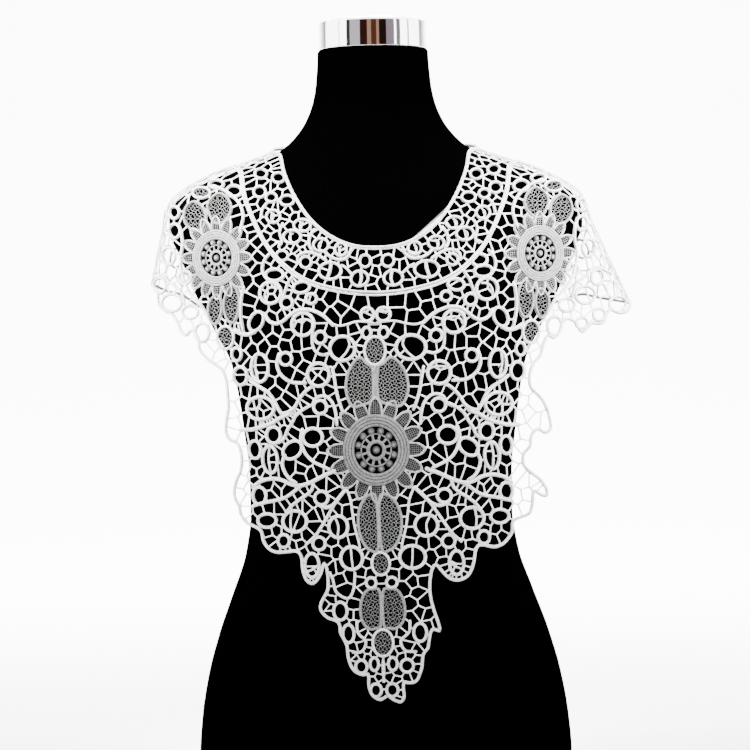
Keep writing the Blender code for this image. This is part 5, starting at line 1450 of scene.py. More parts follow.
@dataclass
class Ground:
    """The ground of bars: finds the gaps between the cords and makes the wall."""

    cloth: ClothSurface
    pitch: float = 20.0       # spacing of the gaps in wide places
    close: float = 8.5        # and in narrow ones
    share: float = 0.72       # part of it that a point may lie from its gap's centre
    bar_half: float = 0.53
    tuck: float = 0.15        # how far a gap runs under a cord
    smallest: float = 1.6     # area of the smallest gap
    thickness: float = 1.0
    grain: float = 0.85       # spacing of the lattice
    round_bar: float = 0.18   # how far a bar bulges into its gaps
    fill: float = 8.0         # spacing of the wall's inner points
    margin: float = 3.5       # their least distance from its edges

    def gaps(self, layout: Layout, outline: Array, closed: list[Array]) -> list[Gap]:
        """Part the open places into cells with bars between them.

        Args:
            layout: the cords, indexed.
            outline: the piece's flat outline.
            closed: flat outlines where no gap may be.

        Returns:
            The gaps, none touching another.
        """
        lattice = Lattice(layout, outline, closed, self.grain, self.tuck)
        spots = lattice.centres(self.pitch, self.close, self.share)
        owner = lattice.owners(lattice.world, lattice.free > 0, spots)
        spots = lattice.add_missed(owner, spots)
        owner = lattice.owners(lattice.world, lattice.free > 0, spots)
        centres = lattice.world[spots[:, 0], spots[:, 1]]
        beside = lattice.neighbours(owner, len(centres))
        out = []
        for k, centre in enumerate(centres):
            radius = math.hypot(centre[0], centre[1])
            for line in lattice.cell(k, owner, centres, beside[k], self.bar_half):
                local = line * (1.0, radius)
                local = local - local[0]
                if abs(signed_area(local)) < self.smallest:
                    continue
                corners = keep_corners(local, 0.1)
                if len(corners) > 2:
                    ring = flat(wrap(line[corners][:, ::-1]))
                    out.append(Gap(ring, ring.mean(axis=0)))
        return out

    def wall(self, maker: MeshMaker, outline: Array, gaps: list[Gap],
             closed: list[Array]) -> None:
        """Make the wall with its gaps, the bars rounded towards each gap.

        Args:
            maker: where the wall goes.
            outline: its flat outline.
            gaps: its gaps.
            closed: flat outlines of larger parts left out, such as leaves.
        """
        points = [tuple(p) for p in outline]
        loops = [np.arange(len(points))]
        holes = [g.ring for g in gaps] + list(closed)
        centres = [g.centre for g in gaps] + [shape.mean(axis=0) for shape in closed]
        for ring in holes:
            loops.append(len(points) + np.arange(len(ring)))
            points += [tuple(p) for p in ring]
        edges = [(int(a), int(b)) for loop in loops for a, b in zip(loop, np.roll(loop, -1))]
        low, high = outline.min(0), outline.max(0)
        gx, gy = np.meshgrid(*(np.arange(low[k], high[k], self.fill) for k in (0, 1)))
        extra = np.column_stack([gx.ravel(), gy.ravel()])
        extra = extra[inside(extra, outline)]
        tree = search_tree([(*p, 0.0) for p in points])
        far = np.array([tree.find(Vector((*p, 0.0)))[2] for p in extra])
        points += [tuple(p) for p in extra[far > self.margin]]
        verts, _, faces, orig, _, _ = delaunay_2d_cdt(
            [Vector(p) for p in points], edges, [], 0, 1e-7)
        verts = np.array([tuple(v) for v in verts])
        faces = np.array([list(f) for f in faces if len(f) == 3])
        middle = verts[faces].mean(axis=1)
        keep = inside(middle, outline)
        for ring in holes:
            keep &= ~inside_box(middle, ring)
        faces = faces[keep]
        a, b, c = verts[faces[:, 0]], verts[faces[:, 1]], verts[faces[:, 2]]
        turn = ((b[:, 0] - a[:, 0]) * (c[:, 1] - a[:, 1])
                - (b[:, 1] - a[:, 1]) * (c[:, 0] - a[:, 0]))
        faces[turn < 0] = faces[turn < 0][:, ::-1]
        directed = {(int(f[i]), int(f[(i + 1) % 3])) for f in faces for i in range(3)}
        rim = [(i, j) for i, j in directed if (j, i) not in directed]

        pull = verts.copy()
        owner = {}
        for k, source in enumerate(orig):
            for s in source:
                owner[s] = k
        for loop, centre in zip(loops[1:], centres):
            for s in loop:
                k = owner.get(int(s))
                if k is None:
                    continue
                way = np.asarray(centre) - verts[k]
                size = np.linalg.norm(way)
                pull[k] = verts[k] + way / max(size, 1e-6) * min(self.round_bar, size * 0.2)
        half = self.thickness / 2
        count = len(verts)
        params = unflat(verts)
        top, low_face = self.cloth.point(params, half), self.cloth.point(params, -half)
        waist = self.cloth.point(unflat(pull), 0.0)
        quads = []
        for i, j in rim:
            quads.append((j, i, 2 * count + i, 2 * count + j))
            quads.append((2 * count + j, 2 * count + i, count + i, count + j))
        coords = np.vstack([verts, verts, pull])
        # The whole wall takes the top value, so no shade is painted down its bars' sections.
        coords[:, 1] = CORD_TOP
        maker.add(np.vstack([top, low_face, waist]),
                  [faces, faces[:, ::-1] + count, np.array(quads)], coords)


@dataclass
class NetFilling:
    """Fine net stretched inside leaves and rings."""

    cloth: ClothSurface
    pitch: float = 2.8
    half: float = 0.26
    sample: float = 0.7   # spacing of the points along a thread
    seed: int = 7

    def fill(self, maker: MeshMaker, shape: Array, angles: tuple[float, ...],
             lift: float = 0.0, wave: float = 0.35) -> None:
        """Lay crossing threads across a shape seen from the front.

        Args:
            maker: where the threads go.
            shape: the outline, in front view.
            angles: directions of the thread families, in degrees.
            lift: height of the net over the cloth.
            wave: how far the threads wander.
        """
        rng = np.random.default_rng(self.seed + int(abs(shape[0, 0] * 7 + shape[0, 1])))
        middle = shape.mean(axis=0)
        reach = float(np.linalg.norm(shape - middle, axis=1).max()) + 1.0
        for number, angle in enumerate(angles):
            a = math.radians(angle)
            way = np.array([math.cos(a), math.sin(a)])
            side = np.array([-way[1], way[0]])
            for offset in np.arange(-reach, reach, self.pitch) + rng.uniform(0, 1.2):
                t = np.arange(-reach, reach, self.sample)
                drift = wave * np.sin(t / self.pitch * 2.4 + rng.uniform(0, 6.3))
                line = middle + t[:, None] * way + (offset + drift)[:, None] * side
                within = np.nonzero(inside(line, shape))[0]
                for run in np.split(within, np.nonzero(np.diff(within) > 1)[0] + 1):
                    if len(run) < 4:
                        continue
                    pick = np.unique(np.append(run[::3], run[-1]))
                    params = self.cloth.from_front(line[pick])
                    bob = lift + 0.18 * np.sin(np.arange(len(pick)) * 1.7 + number * 2)
                    maker.tube(self.cloth.point(params, bob), self.cloth.normal(params),
                               self.half, self.half * 0.8, sides=4)


@dataclass
class Rosette:
    """A wheel with a beaded centre, a ringed rim and sixteen pointed petals."""

    cloth: ClothSurface
    node: str
    x: float
    z: float
    rx: float
    rz: float
    petals: int = 16
    beads: int = 12
    base: float = 0.9                         # height of its foot over the cloth
    ridges: int = 4
    # Radii, as shares of its own.
    hub: float = 0.165
    spokes: tuple[float, float] = (0.18, 0.33)
    spoke_ring: float = 0.31
    bead_ring: float = 0.375
    rim: tuple[float, float] = (0.45, 0.695)
    petal_root: float = 0.68
    petal_length: float = 0.34
    petal_half: tuple[float, float] = (0.122, 0.022)   # at the root, and what it gains

    def place(self, local: Array, lift: Array | float) -> tuple[Array, Array]:
        """Map wheel positions, in shares of the radius, to the cloth.

        Args:
            local: across and up, from the centre.
            lift: height over the cloth.

        Returns:
            Points and normals.
        """
        params = self.cloth.from_front(self.front(local))
        return self.cloth.point(params, lift), self.cloth.normal(params)

    def front(self, local: Array) -> Array:
        """Wheel positions as they show from the front."""
        return np.column_stack([self.x + self.rx * local[:, 0], self.z + self.rz * local[:, 1]])

    def petal(self, number: int, grow: float = 1.0) -> Array:
        """Outline of one petal, in shares of the radius."""
        angle = 2 * math.pi * number / self.petals
        t = np.sin(np.linspace(0.0, math.pi / 2, 9))
        half, gain = self.petal_half
        width = grow * (half + gain * t) * np.maximum(0.0, 1 - t ** 2.6) ** 0.75
        radius = self.petal_root + self.petal_length * grow * t
        left = np.column_stack([width, radius])
        right = np.column_stack([-width[::-1], radius[::-1]])[1:]
        both = np.vstack([left, right])
        c, s = math.cos(angle), math.sin(angle)
        return np.column_stack([both[:, 0] * c + both[:, 1] * s,
                                -both[:, 0] * s + both[:, 1] * c])

    def circle(self, radius: float, count: int = 72) -> Array:
        """A circle about the centre, in shares of the radius."""
        a = all_round(count)
        return np.column_stack([radius * np.sin(a), radius * np.cos(a)])

    def outline_cords(self, layout: Layout) -> None:
        """Tell a layout where the rosette's cords run."""
        layout.add_front(self.front(self.circle(0.69)), 1.0, closed=True, drawn=False)
        for k in range(self.petals):
            layout.add_front(self.front(self.petal(k)), 0.9, drawn=False)

    def areas(self, radius: float, count: int, grow: float = 1.0) -> list[Array]:
        """Flat outlines of a disc of a radius, of count points, and of every petal."""
        shapes = [self.circle(radius, count)] + [self.petal(k, grow) for k in range(self.petals)]
        return [flat(self.cloth.from_front(self.front(s))) for s in shapes]

    def ball(self, maker: MeshMaker, at: Array, radius: float, height: float) -> None:
        """Add a padded bead."""
        rows, cols = 5, 12
        points, coords = [], []
        for i in range(rows):
            a = math.radians(88.0 * i / (rows - 1))
            for j in range(cols):
                b = 2 * math.pi * j / cols
                size = radius * math.sin(a) if i else radius * 0.08
                points.append((at[0] + size * math.cos(b), at[1] + size * math.sin(b),
                               self.base * 0.5 + height * math.cos(a)))
                # The thread coordinate falls from the bead's top to its base, so the finish paints
                # shade towards its base.
                coords.append((b * radius * 40, CORD_TOP - 2.0 * i))
        local = np.array(points)
        world, _ = self.place(local[:, :2], local[:, 2])
        maker.add(world, [grid_faces(rows, cols)[:, ::-1], np.arange(cols)[None]],
                  np.array(coords))

    def band(self, maker: MeshMaker) -> None:
        """Add the ringed rim with its ridges."""
        radii = np.linspace(*self.rim, 33)
        t = (radii - radii[0]) / (radii[-1] - radii[0])
        ridge = np.abs(np.sin(math.pi * self.ridges * t)) ** 0.7
        body = 1.2 * np.sin(math.pi * np.clip(t * 1.02, 0, 1)) ** 0.35
        heights = self.base * 0.6 + body + 0.5 * ridge
        radii = np.concatenate([radii[:1], radii, radii[-1:]])
        heights = np.concatenate([[0.0], heights, [0.0]])
        count = 96
        a = all_round(count)
        rows = [np.column_stack([r * np.sin(a), r * np.cos(a), np.full(count, h)])
                for r, h in zip(radii, heights)]
        local = np.vstack(rows)
        world, _ = self.place(local[:, :2], local[:, 2])
        ridge = np.repeat(np.concatenate([[0.0], ridge, [0.0]]), count)
        # The thread coordinate follows the ridges, so the finish paints shade in the valleys
        # between them and at both rims.
        coords = np.column_stack([np.tile(a * 26.0, len(radii)), 4.0 + 6.0 * ridge])
        maker.add(world, [grid_faces(len(radii), count)[:, ::-1]], coords)

    def build(self, cord: Material, rim: Material,
              net: Material) -> list[Object]:
        """Make the rosette.

        Args:
            cord: finish of its raised work.
            rim: finish of the petals' edges.
            net: finish of the petals' filling.

        Returns:
            The raised work, the petals' edges and their filling.
        """
        maker, edges, filling = MeshMaker(), MeshMaker(), MeshMaker()
        self.band(maker)
        size = math.sqrt(self.rx * self.rz)
        self.ball(maker, np.zeros(2), 0.078, 1.7)
        points, up = self.place(self.circle(self.hub, 40), self.base)
        maker.tube(points, up, 0.038 * size, 0.9, closed=True)
        for k in range(self.beads):
            angle = 2 * math.pi * (k + 0.5) / self.beads
            way = np.array([math.sin(angle), math.cos(angle)])
            self.ball(maker, way * self.bead_ring, 0.073, 1.8)
            run = np.linspace(*self.spokes, 7)[:, None] * way
            points, up = self.place(run, self.base * 0.7)
            maker.tube(points, up, 0.026 * size, 0.6, sides=6)
        points, up = self.place(self.circle(self.spoke_ring, 48), self.base * 0.6)
        maker.tube(points, up, 0.016 * size, 0.5, sides=6, closed=True)
        fill = NetFilling(self.cloth, pitch=1.9, half=0.33)
        for k in range(self.petals):
            outline = self.petal(k)
            points, up = self.place(outline, self.base)
            edges.tube(points, up, 0.75, 0.9)
            angle = 90.0 - 360.0 * k / self.petals
            fill.fill(filling, self.front(outline), (angle, angle + 90.0), lift=0.4, wave=0.12)
        label = self.node.replace("medallion", "rosette")
        out = [maker.make(label + "_wheel", cord), edges.make(label + "_rims", rim),
               filling.make(label + "_petals", net)]
        for obj in out:
            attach(obj, "root")
            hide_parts(self.node)
        return out


def draw_cords(maker: MeshMaker, layout: Layout, of_net: bool = False) -> None:
    """Sweep every drawn cord of a layout, or those that edge its net."""
    for cord in layout.cords:
        if not cord.drawn or cord.of_net != of_net:
            continue
        path = layout.path(cord)
        run = run_length(path)
        count = max(4, int(run[-1] / CORD_STEP))
        want = np.linspace(0, run[-1], count, endpoint=not cord.closed)
        points = np.column_stack([np.interp(want, run, path[:, k]) for k in range(3)])
        params = layout.cloth.locate(points)
        maker.tube(layout.cloth.point(params), layout.cloth.normal(params), cord.half,
                   cord.height, cord.lift, closed=cord.closed)


def shift_inward(loop: Array, distance: float) -> Array:
    """Move a closed flat outline towards its inside."""
    along = unit(np.roll(loop, -1, axis=0) - np.roll(loop, 1, axis=0))
    normal = np.column_stack([-along[:, 1], along[:, 0]])
    return loop + (-normal if signed_area(loop) < 0 else normal) * distance


@dataclass
class Collar:
    """The whole collar: band, front, back and rosettes on one cloth surface."""

    cloth: ClothSurface
    thread: Material
    ground: Material
    net: Material
    rosettes: tuple[Rosette, ...] = ()
    right: float = math.pi / 2
    hem_end: float = 1.53     # angle past which the shoulder seam takes over from the hem
    neck_half: float = 1.2    # half widths of the band's upper and lower cords
    edge_half: float = 1.05
    hem_inset: float = 1.4    # from a panel's outline to the middle of its hem cord

    def __post_init__(self) -> None:
        """Work out the band's lower edge and the sizes of its ground."""
        self.band_depth = self.cloth.edge_depths(BAND_EDGE, BACK_BAND_WIDTH)
        self.band_ground = Ground(self.cloth, pitch=12.5, close=6.4, bar_half=0.48)

    def band_at(self, angle: Array | float, shift: float = 0.0) -> Array:
        """Depth of the band's lower edge."""
        return np.interp(angle, ANGLES, self.band_depth) + shift

    def seam(self, side: Side, facing: float, s0: float, s1: float,
             spacing: float = 6.0) -> Array:
        """Points along a shoulder seam, half a seam gap to the front or the back of it.

        Args:
            side: which shoulder.
            facing: 1 for the edge of a back piece, -1 for a front piece.
            s0: depth where it starts.
            s1: depth where it ends.
            spacing: distance between points.

        Returns:
            Angle and depth pairs.
        """
        angle = self.right * side.value
        count = max(2, int(math.ceil(abs(s1 - s0) / spacing)))
        s = np.linspace(s0, s1, count + 1)
        r = self.cloth.read(self.cloth.r, np.full(len(s), angle), s)
        return np.column_stack([angle + SEAM_GAP / 2 / r * facing * side.value, s])

    def _panel_seams(self, facing: int) -> list[Array]:
        """Both shoulder seams of the front or the back, from the band to the hem."""
        return [self.seam(side, facing, float(self.band_at(self.right * side.value, SEAM_GAP)),
                          end)
                for side, end in zip((Side.RIGHT, Side.LEFT), self.seam_ends)]

    def finish(self, name: str, node: str, layout: Layout, outline: Array, ground: Ground,
               leaves: list[Array],
               nets: list[Array] | None = None,
               wheels: tuple[Rosette, ...] = ()) -> list[Object]:
        """Make one piece of lace: its ground, cords and net.

        Args:
            name: the piece's name.
            node: the node that it stands for.
            layout: its cords.
            outline: its flat outline.
            ground: the ground's sizes.
            leaves: flat outlines of net-filled shapes.
            nets: the net-filled shapes as they show from the front.
            wheels: rosettes that lie on it.

        Returns:
            The new objects.
        """
        layout.index()
        closed = [area for wheel in wheels for area in wheel.areas(0.70, 40)]
        gaps = ground.gaps(layout, outline, leaves + closed)
        maker, cords, filling = MeshMaker(), MeshMaker(), MeshMaker()
        left_out = leaves + [area for wheel in wheels for area in wheel.areas(0.65, 48, 0.9)]
        ground.wall(maker, outline, gaps, left_out)
        draw_cords(cords, layout)
        out = [maker.make(name + "_ground", self.ground), cords.make(name + "_cords", self.thread)]
        if nets:
            draw_cords(filling, layout, True)
            fill = NetFilling(self.cloth)
            for shape in nets:
                fill.fill(filling, shape, NET_ANGLES, wave=0.8)
            out.append(filling.make(name + "_net", self.net))
        for obj in out:
            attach(obj, "root")
            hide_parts(node)
        area = sum(face.area for face in out[0].data.polygons) / 2
        LOG.info("%s: %d gaps, %d cords, area %.4f, %d faces", name, len(gaps),
                 len(layout.cords), area, sum(len(o.data.polygons) for o in out))
        return out

    @staticmethod
    def draw_rings(layout: Layout, rows: Rows, room: Array, half: float) -> None:
        """Lay the rings of a table on both halves, the larger ones of thicker cord."""
        for row in rows:
            for shape in pair(ellipse(*row)):
                layout.add_front(shape, half + 0.025 * min(row[2:4]), room, closed=True,
                                 height=1.35, lift=0.35)

    @staticmethod
    def draw_rows(layout: Layout, rows: Rows, margin: float) -> None:
        """Lay rows of rings round the back, a margin of degrees behind each shoulder."""
        for depth, radius, count in rows:
            for k in range(int(count)):
                along = (180.0 - 2 * margin) * k / (count - 1)
                layout.add_round(90.0 + margin + along, depth, radius)

    @staticmethod
    def draw_inner_curls(layout: Layout, rows: Rows, room: Array, radii: tuple[float, float]
                         ) -> None:
        """Curl a thinner cord inside each ring between two radii, to one side."""
        turn = np.radians(np.linspace(205.0, 440.0, 22))
        for x, z, rx, rz, *_ in rows:
            if not radii[0] < min(rx, rz) < radii[1]:
                continue
            curl = np.column_stack([x - 0.30 * rx + 0.62 * rx * np.cos(turn),
                                    z - 0.18 * rz + 0.70 * rz * np.sin(turn)])
            for shape in pair(curl):
                layout.add_front(shape, 0.7, room, height=1.2, lift=0.3)

    @staticmethod
    def draw_lines(layout: Layout, points: Pairs, half: float, room: Array,
                   **options: object) -> None:
        """Lay a cord through points on both halves."""
        for shape in pair(spline(points, 2.0)):
            layout.add_front(shape, half, room, **options)

    def _band(self, facing: int, turn: Array, dense: Array) -> tuple[Layout, Array]:
        """Lay out half of the neck band, with the smooth cords along its edges and seams.

        Args:
            facing: 1 for the nape, -1 for the chest.
            turn: angles from shoulder to shoulder.
            dense: the same, closer and short of the seams.

        Returns:
            The layout and the flat outline.
        """
        seams = [self.seam(side, facing, BAND_TOP, float(self.band_at(self.right * side.value)))
                 for side in (Side.RIGHT, Side.LEFT)]
        first, last = seams[::facing]
        upper = np.column_stack([turn, np.zeros(len(turn))])
        lower = np.column_stack([turn, self.band_at(turn)])
        upper[0], upper[-1] = first[0], last[0]
        lower[0], lower[-1] = first[-1], last[-1]
        layout = Layout(self.cloth)
        neck = np.full(len(dense), self.neck_half)
        layout.add(np.column_stack([dense, neck]), self.neck_half, height=1.5, lift=0.3)
        layout.add(np.column_stack([dense, neck + 1.9]), 0.6, height=0.9, lift=0.2)
        layout.add(np.column_stack([dense, self.band_at(dense, -self.edge_half)]),
                   self.edge_half, height=1.4)
        for seam in seams:
            line = np.linspace(seam[0], seam[-1], 30)
            shift = 1.2 / 120.0 * (1 if abs(seam[0, 0]) > self.right else -1)
            line[:, 0] += shift * np.sign(line[:, 0])
            layout.add(line, 1.1, height=0.8, lift=0.1)
        return layout, flat(np.vstack([upper, last[1:-1], lower[::-1], first[1:-1][::-1]]))

    def build_band_front(self) -> None:
        """The neck band over the chest, shoulder to shoulder."""
        layout, outline = self._band(-1, np.radians(np.arange(-90.0, 90.1, 1.5)),
                                     np.radians(np.arange(-89.4, 89.5, 0.75)))
        self.draw_rings(layout, BAND_RINGS, outline, 1.08)
        self.draw_inner_curls(layout, BAND_RINGS, outline, (5.5, 6.5))
        for half, points in BAND_CORDS:
            self.draw_lines(layout, points, half, outline, height=1.3, lift=0.35)
        self.finish("neck_band_chest", "neck_band_front", layout, outline, self.band_ground, [])

    def build_band_back(self) -> None:
        """The neck band round the nape."""
        layout, outline = self._band(1, *(
            wrap(np.radians(np.column_stack([degrees] * 2)))[:, 0]
            for degrees in (np.arange(90.0, 270.1, 2.0), np.arange(90.6, 269.5, 0.75))))
        self.draw_rows(layout, BACK_BAND_ROWS, 12.0)
        self.finish("neck_band_nape", "neck_band_back", layout, outline, self.band_ground, [])

    def build_front(self) -> None:
        """The front: wings, long point, leaves and rosettes."""
        front = np.radians(np.arange(-90.0, 90.1, 1.5))
        top = np.column_stack([front, self.band_at(front, SEAM_GAP)])
        hem_l = self.cloth.from_front(spline(mirrored(HEM_LEFT), 3.0))
        hem_r = self.cloth.from_front(spline(np.array(HEM_RIGHT), 3.0))
        self.seam_ends = (hem_r[0, 1], hem_l[0, 1])
        seam_r, seam_l = self._panel_seams(-1)
        top[0], top[-1] = seam_l[0], seam_r[0]
        hem_l, hem_r = (hem[np.abs(hem[:, 0]) < self.hem_end] for hem in (hem_l, hem_r))
        outline = flat(np.vstack([top, seam_r[1:], hem_r, hem_l[::-1], seam_l[1:][::-1]]))
        layout = Layout(self.cloth)
        hem = unflat(shift_inward(outline, self.hem_inset))
        layout.add(hem[:len(top)], 0.9, height=0.9, lift=0.2)
        layout.add(np.vstack([hem[len(top) - 1:], hem[:1]]), 1.45, height=1.35, lift=0.35)
        self.draw_rings(layout, PANEL_RINGS, outline, 1.3)
        for half, points in PANEL_CORDS:
            self.draw_lines(layout, points, half, outline, height=1.45, lift=0.45)
        for points in CURLS:
            self.draw_lines(layout, points, CURL_HALF, outline)
        shapes: list[Array] = []
        for points in LEAVES:
            for shape in pair(spline(points, 2.0, closed=True)):
                if layout.add_front(shape, 1.35, outline, closed=True, height=1.3, lift=0.35,
                                    of_net=True):
                    shapes.append(shape)
        layout.add_front(hung(spline(VEIN, 2.0)), 0.95, outline, of_net=True)
        for row in NET_RINGS:
            ring = ellipse(*row, count=30)
            for shape in pair(ring) if row[0] else [hung(ring)]:
                if layout.add_front(shape, 1.25, outline, closed=True, height=1.3, lift=0.35):
                    shapes.append(shape)
        for wheel in self.rosettes:
            wheel.outline_cords(layout)
        leaves = [flat(self.cloth.from_front(s)) for s in shapes]
        self.finish("front", "front_panel", layout, outline, Ground(self.cloth), leaves,
                    shapes, self.rosettes)

    def build_back(self) -> None:
        """The back cape, with rows of rings and a scalloped hem."""
        turn = np.radians(np.arange(90.0, 270.1, 1.0))
        folded = np.degrees(np.minimum(turn, 2 * math.pi - turn))
        ends = np.where(turn < math.pi, *self.seam_ends)
        blend = eased(np.clip((folded - 90.0) / 25.0, 0.0, 1.0))
        table = np.array(BACK_HEM)
        plain = monotone(folded, table[:, 0], table[:, 1])
        lobes = np.abs(np.sin(BACK_SCALLOPS * (turn - self.right)))
        drop = ends * (1 - blend) + plain * blend - BACK_SCALLOP_DEPTH * blend * (1 - lobes)
        hem_b = wrap(np.column_stack([turn, drop]))
        back = np.radians(np.arange(90.0, 270.1, 2.0))
        top = wrap(np.column_stack([back, np.zeros(len(back))]))
        top[:, 1] = self.band_at(top[:, 0], SEAM_GAP)
        seam_r, seam_l = self._panel_seams(1)
        top[0], top[-1] = seam_r[0], seam_l[0]
        outline = flat(np.vstack([top, seam_l[1:], hem_b[1:-1][::-1], seam_r[1:][::-1]]))
        layout = Layout(self.cloth)
        layout.add(unflat(shift_inward(outline, self.hem_inset)), 1.35, closed=True, height=1.2)
        self.draw_rows(layout, BACK_ROWS, 13.0)
        self.finish("back", "back_panel", layout, outline,
                    Ground(self.cloth, pitch=18.0, bar_half=0.6), [])


# ------------------------------------------------------------------------ studio
@dataclass
class Studio:
    """Floor, light and camera."""

    distance: float = 3.35
    height: float = 0.395
    aim_x: float = -0.00356
    frame_width: float = 0.690
    roll: float = 1.1
    fill: float = 0.06
    sky: float = 0.9

    def floor(self) -> None:
        """A wide pale floor that curves up far behind."""
        mesh = bpy.data.meshes.new("floor")
        rows = [(-9.0, 0.0), (4.0, 0.0), (5.0, 0.1), (5.8, 0.45), (6.3, 1.1), (6.5, 2.0),
                (6.5, 8.0)]
        points = [(x, y, z) for y, z in rows for x in (-12.0, 12.0)]
        faces = [(2 * i, 2 * i + 1, 2 * i + 3, 2 * i + 2) for i in range(len(rows) - 1)]
        mesh.from_pydata(points, [], faces)
        mesh.shade_smooth()
        material, tree, shader = new_material("floor_white")
        set_inputs(tree, shader, {"Base Color": (0.93, 0.93, 0.93, 1.0), "Roughness": 0.9})
        mesh.materials.append(material)
        obj = place_object("floor", mesh)

    def world(self) -> None:
        """A soft even fill, and for the chrome a room with dark and pale walls in front."""
        world = bpy.data.worlds.new("studio")
        bpy.context.scene.world = world
        world.use_nodes = True
        tree = world.node_tree
        way = add_node(tree, "SeparateXYZ", {
            0: add_node(tree, "TexCoord").outputs["Generated"]}).outputs
        turn = maths(tree, "ARCTAN2", way["X"], maths(tree, "MULTIPLY", way["Y"], -1.0))
        ramp = add_node(tree, "ValToRGB", {
            "Fac": maths(tree, "MULTIPLY_ADD", turn, 1 / (2 * math.pi), 0.5)})
        white = (1.0, 1.0, 1.0)
        bands = (   # where each band starts, in degrees from the front, and its tone
            (-137.0, (0.06, 0.06, 0.065)), (-126.0, white), (-78.0, (0.25, 0.25, 0.25)),
            (-75.0, white), (-58.0, (0.006, 0.006, 0.007)), (-50.0, (0.085, 0.080, 0.085)),
            (-28.0, (0.0045, 0.0012, 0.0010)), (-11.5, (0.055, 0.034, 0.022)),
            (-3.2, (0.014, 0.004, 0.0025)), (7.4, (0.055, 0.034, 0.022)),
            (13.5, (0.0022, 0.0009, 0.0008)), (29.0, (0.042, 0.034, 0.040)), (46.5, white),
            (51.5, (0.035, 0.035, 0.037)), (61.0, white), (79.0, (0.07, 0.07, 0.072)),
            (84.0, white), (131.0, (0.05, 0.05, 0.05)), (160.0, white),
        )
        ramp.color_ramp.interpolation = "CONSTANT"
        stops = ramp.color_ramp.elements
        stops.remove(stops[1])
        stops[0].color = (*white, 1.0)
        for degrees, colour in bands:
            stops.new(0.5 + degrees / 360.0).color = (*colour, 1.0)
        above = maths(tree, "MULTIPLY_ADD", way["Z"], 2.2, -0.5)
        tone = blended(tree, above, ramp.outputs["Color"], white, clamp_factor=True)
        ceiling = maths(tree, "MULTIPLY_ADD", way["Z"], 6.0, -4.8)
        tone = blended(tree, ceiling, tone, (0.045, 0.045, 0.045), clamp_factor=True)
        room = tree.nodes["Background"]
        set_inputs(tree, room, {"Color": tone, "Strength": 9.0})
        path = add_node(tree, "LightPath").outputs
        plain = add_node(tree, "Background", {
            "Color": (*white, 1.0),
            "Strength": maths(tree, "MULTIPLY_ADD", path["Is Camera Ray"], self.sky, self.fill)})
        mix = add_node(tree, "MixShader", {
            0: path["Is Glossy Ray"], 1: plain.outputs[0], 2: room.outputs[0]})
        set_inputs(tree, tree.nodes["World Output"], {0: mix.outputs[0]})

    def lamps(self) -> None:
        """Soft boxes over both shoulders, and a wide one that lights the ground behind."""
        for name, place, aim, size, power, spread in (
                ("box_front", (-0.06, -0.46, 0.98), (0.0, -0.1, 0.45), (0.45, 0.25), 0.7, 110.0),
                ("box_left", (-0.42, -0.40, 0.95), (-0.165, -0.03, 0.52), (0.3, 0.3), 4.3, 36.0),
                ("box_right", (0.44, -0.39, 0.96), (0.165, -0.03, 0.52), (0.3, 0.3), 4.4, 36.0),
                ("box_top", (0.0, 0.15, 2.0), (0.0, 0.0, 0.5), (1.2, 1.2), 110.0, 180.0),
                ("backdrop", (0.0, 3.2, 3.6), (0.0, 5.4, 0.6), (8.0, 3.0), 2600.0, 180.0),
                ("ground", (0.0, 2.9, 2.2), (0.0, 2.9, 0.0), (7.0, 3.0), 420.0, 180.0)):
            lamp = bpy.data.lights.new(name, "AREA")
            lamp.shape = "RECTANGLE"
            lamp.size, lamp.size_y = size
            lamp.energy = power
            lamp.spread = math.radians(spread)
            obj = place_object(name, lamp)
            obj.location = place
            way = Vector(aim) - Vector(place)
            obj.rotation_euler = way.to_track_quat("-Z", "Y").to_euler()
            obj.visible_glossy = spread > 150.0

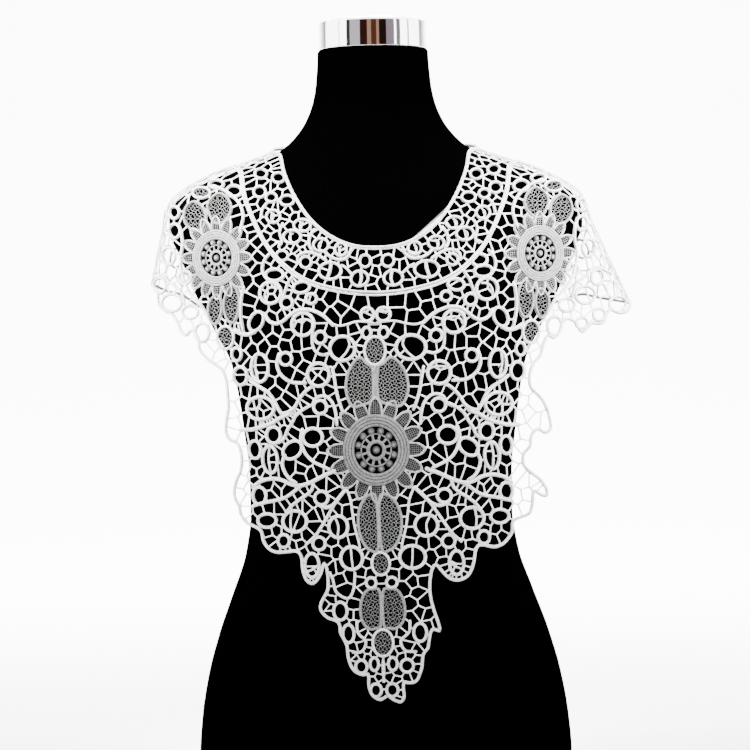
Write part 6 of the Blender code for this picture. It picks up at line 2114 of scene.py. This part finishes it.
    def camera(self) -> None:
        """A level camera in front of the chest, rolled by a degree."""
        data = bpy.data.cameras.new("camera")
        data.sensor_fit = "HORIZONTAL"
        data.sensor_width = 36.0
        data.lens = 36.0 * self.distance / self.frame_width
        data.clip_end = 60.0
        obj = place_object("camera", data)
        obj.matrix_world = (Matrix.Translation((self.aim_x, -self.distance, self.height))
                            @ Matrix.Rotation(math.radians(90.0), 4, "X")
                            @ Matrix.Rotation(math.radians(-self.roll), 4, "Z"))
        bpy.context.scene.camera = obj


def main() -> None:
    """Build the form, the collar and the studio."""
    logging.basicConfig(level=logging.INFO, format="%(name)s: %(message)s")
    studio = Studio()
    studio.camera()
    studio.floor()
    studio.world()
    studio.lamps()

    work = ThreadWork()
    cord = ThreadFinish("cord_thread").make(work)
    bars = ThreadFinish("bar_thread", (0.78, 0.78, 0.78), stitches=14.0, relief=0.00008,
                        groove_shade=0.1, grain=0.4).make(work)
    net = ThreadFinish("net_thread", (0.29, 0.29, 0.29), (0.04, 0.04, 0.04)).make(work)
    form = DressForm()
    form.build_torso(JerseyFinish().make(work))
    form.build_cap(ChromeFinish().make(work))
    LOG.info("form and cap built")

    cloth = ClothSurface()
    rosettes = (
        Rosette(cloth, "medallion_centre", -3.9, 326.0, 44.6, 48.0),
        Rosette(cloth, "medallion_left", -147.0, 505.5, 31.5, 37.5),
        Rosette(cloth, "medallion_right", 150.0, 504.0, 31.5, 37.5),
    )
    collar = Collar(cloth, cord, bars, net, rosettes)
    collar.build_band_front()
    collar.build_band_back()
    collar.build_front()
    collar.build_back()
    # The centre rosette's colours are darker and the shoulder rosettes' lighter: painted shade and
    # painted light for how the light falls, which is stronger on the upward-facing shoulders.
    lit_and_shaded_tones = {   # raised work, petal edges and petal filling
        "centre": (0.205, 0.48, 0.15),
        "shoulder": (0.42, 0.72, 0.30),
    }
    finishes = {place: [ThreadFinish(f"{place}_{name}", (v,) * 3, (0.12 * v,) * 3,
                                     groove_shade=0.5).make(work)
                        for name, v in zip(("wheel", "petal_edge", "petal_net"), values)]
                for place, values in lit_and_shaded_tones.items()}
    for wheel in rosettes:
        wheel.build(*finishes["centre" if wheel.node.endswith("centre") else "shoulder"])
        LOG.info("%s built", wheel.node)


if __name__ == "__main__":
    main()
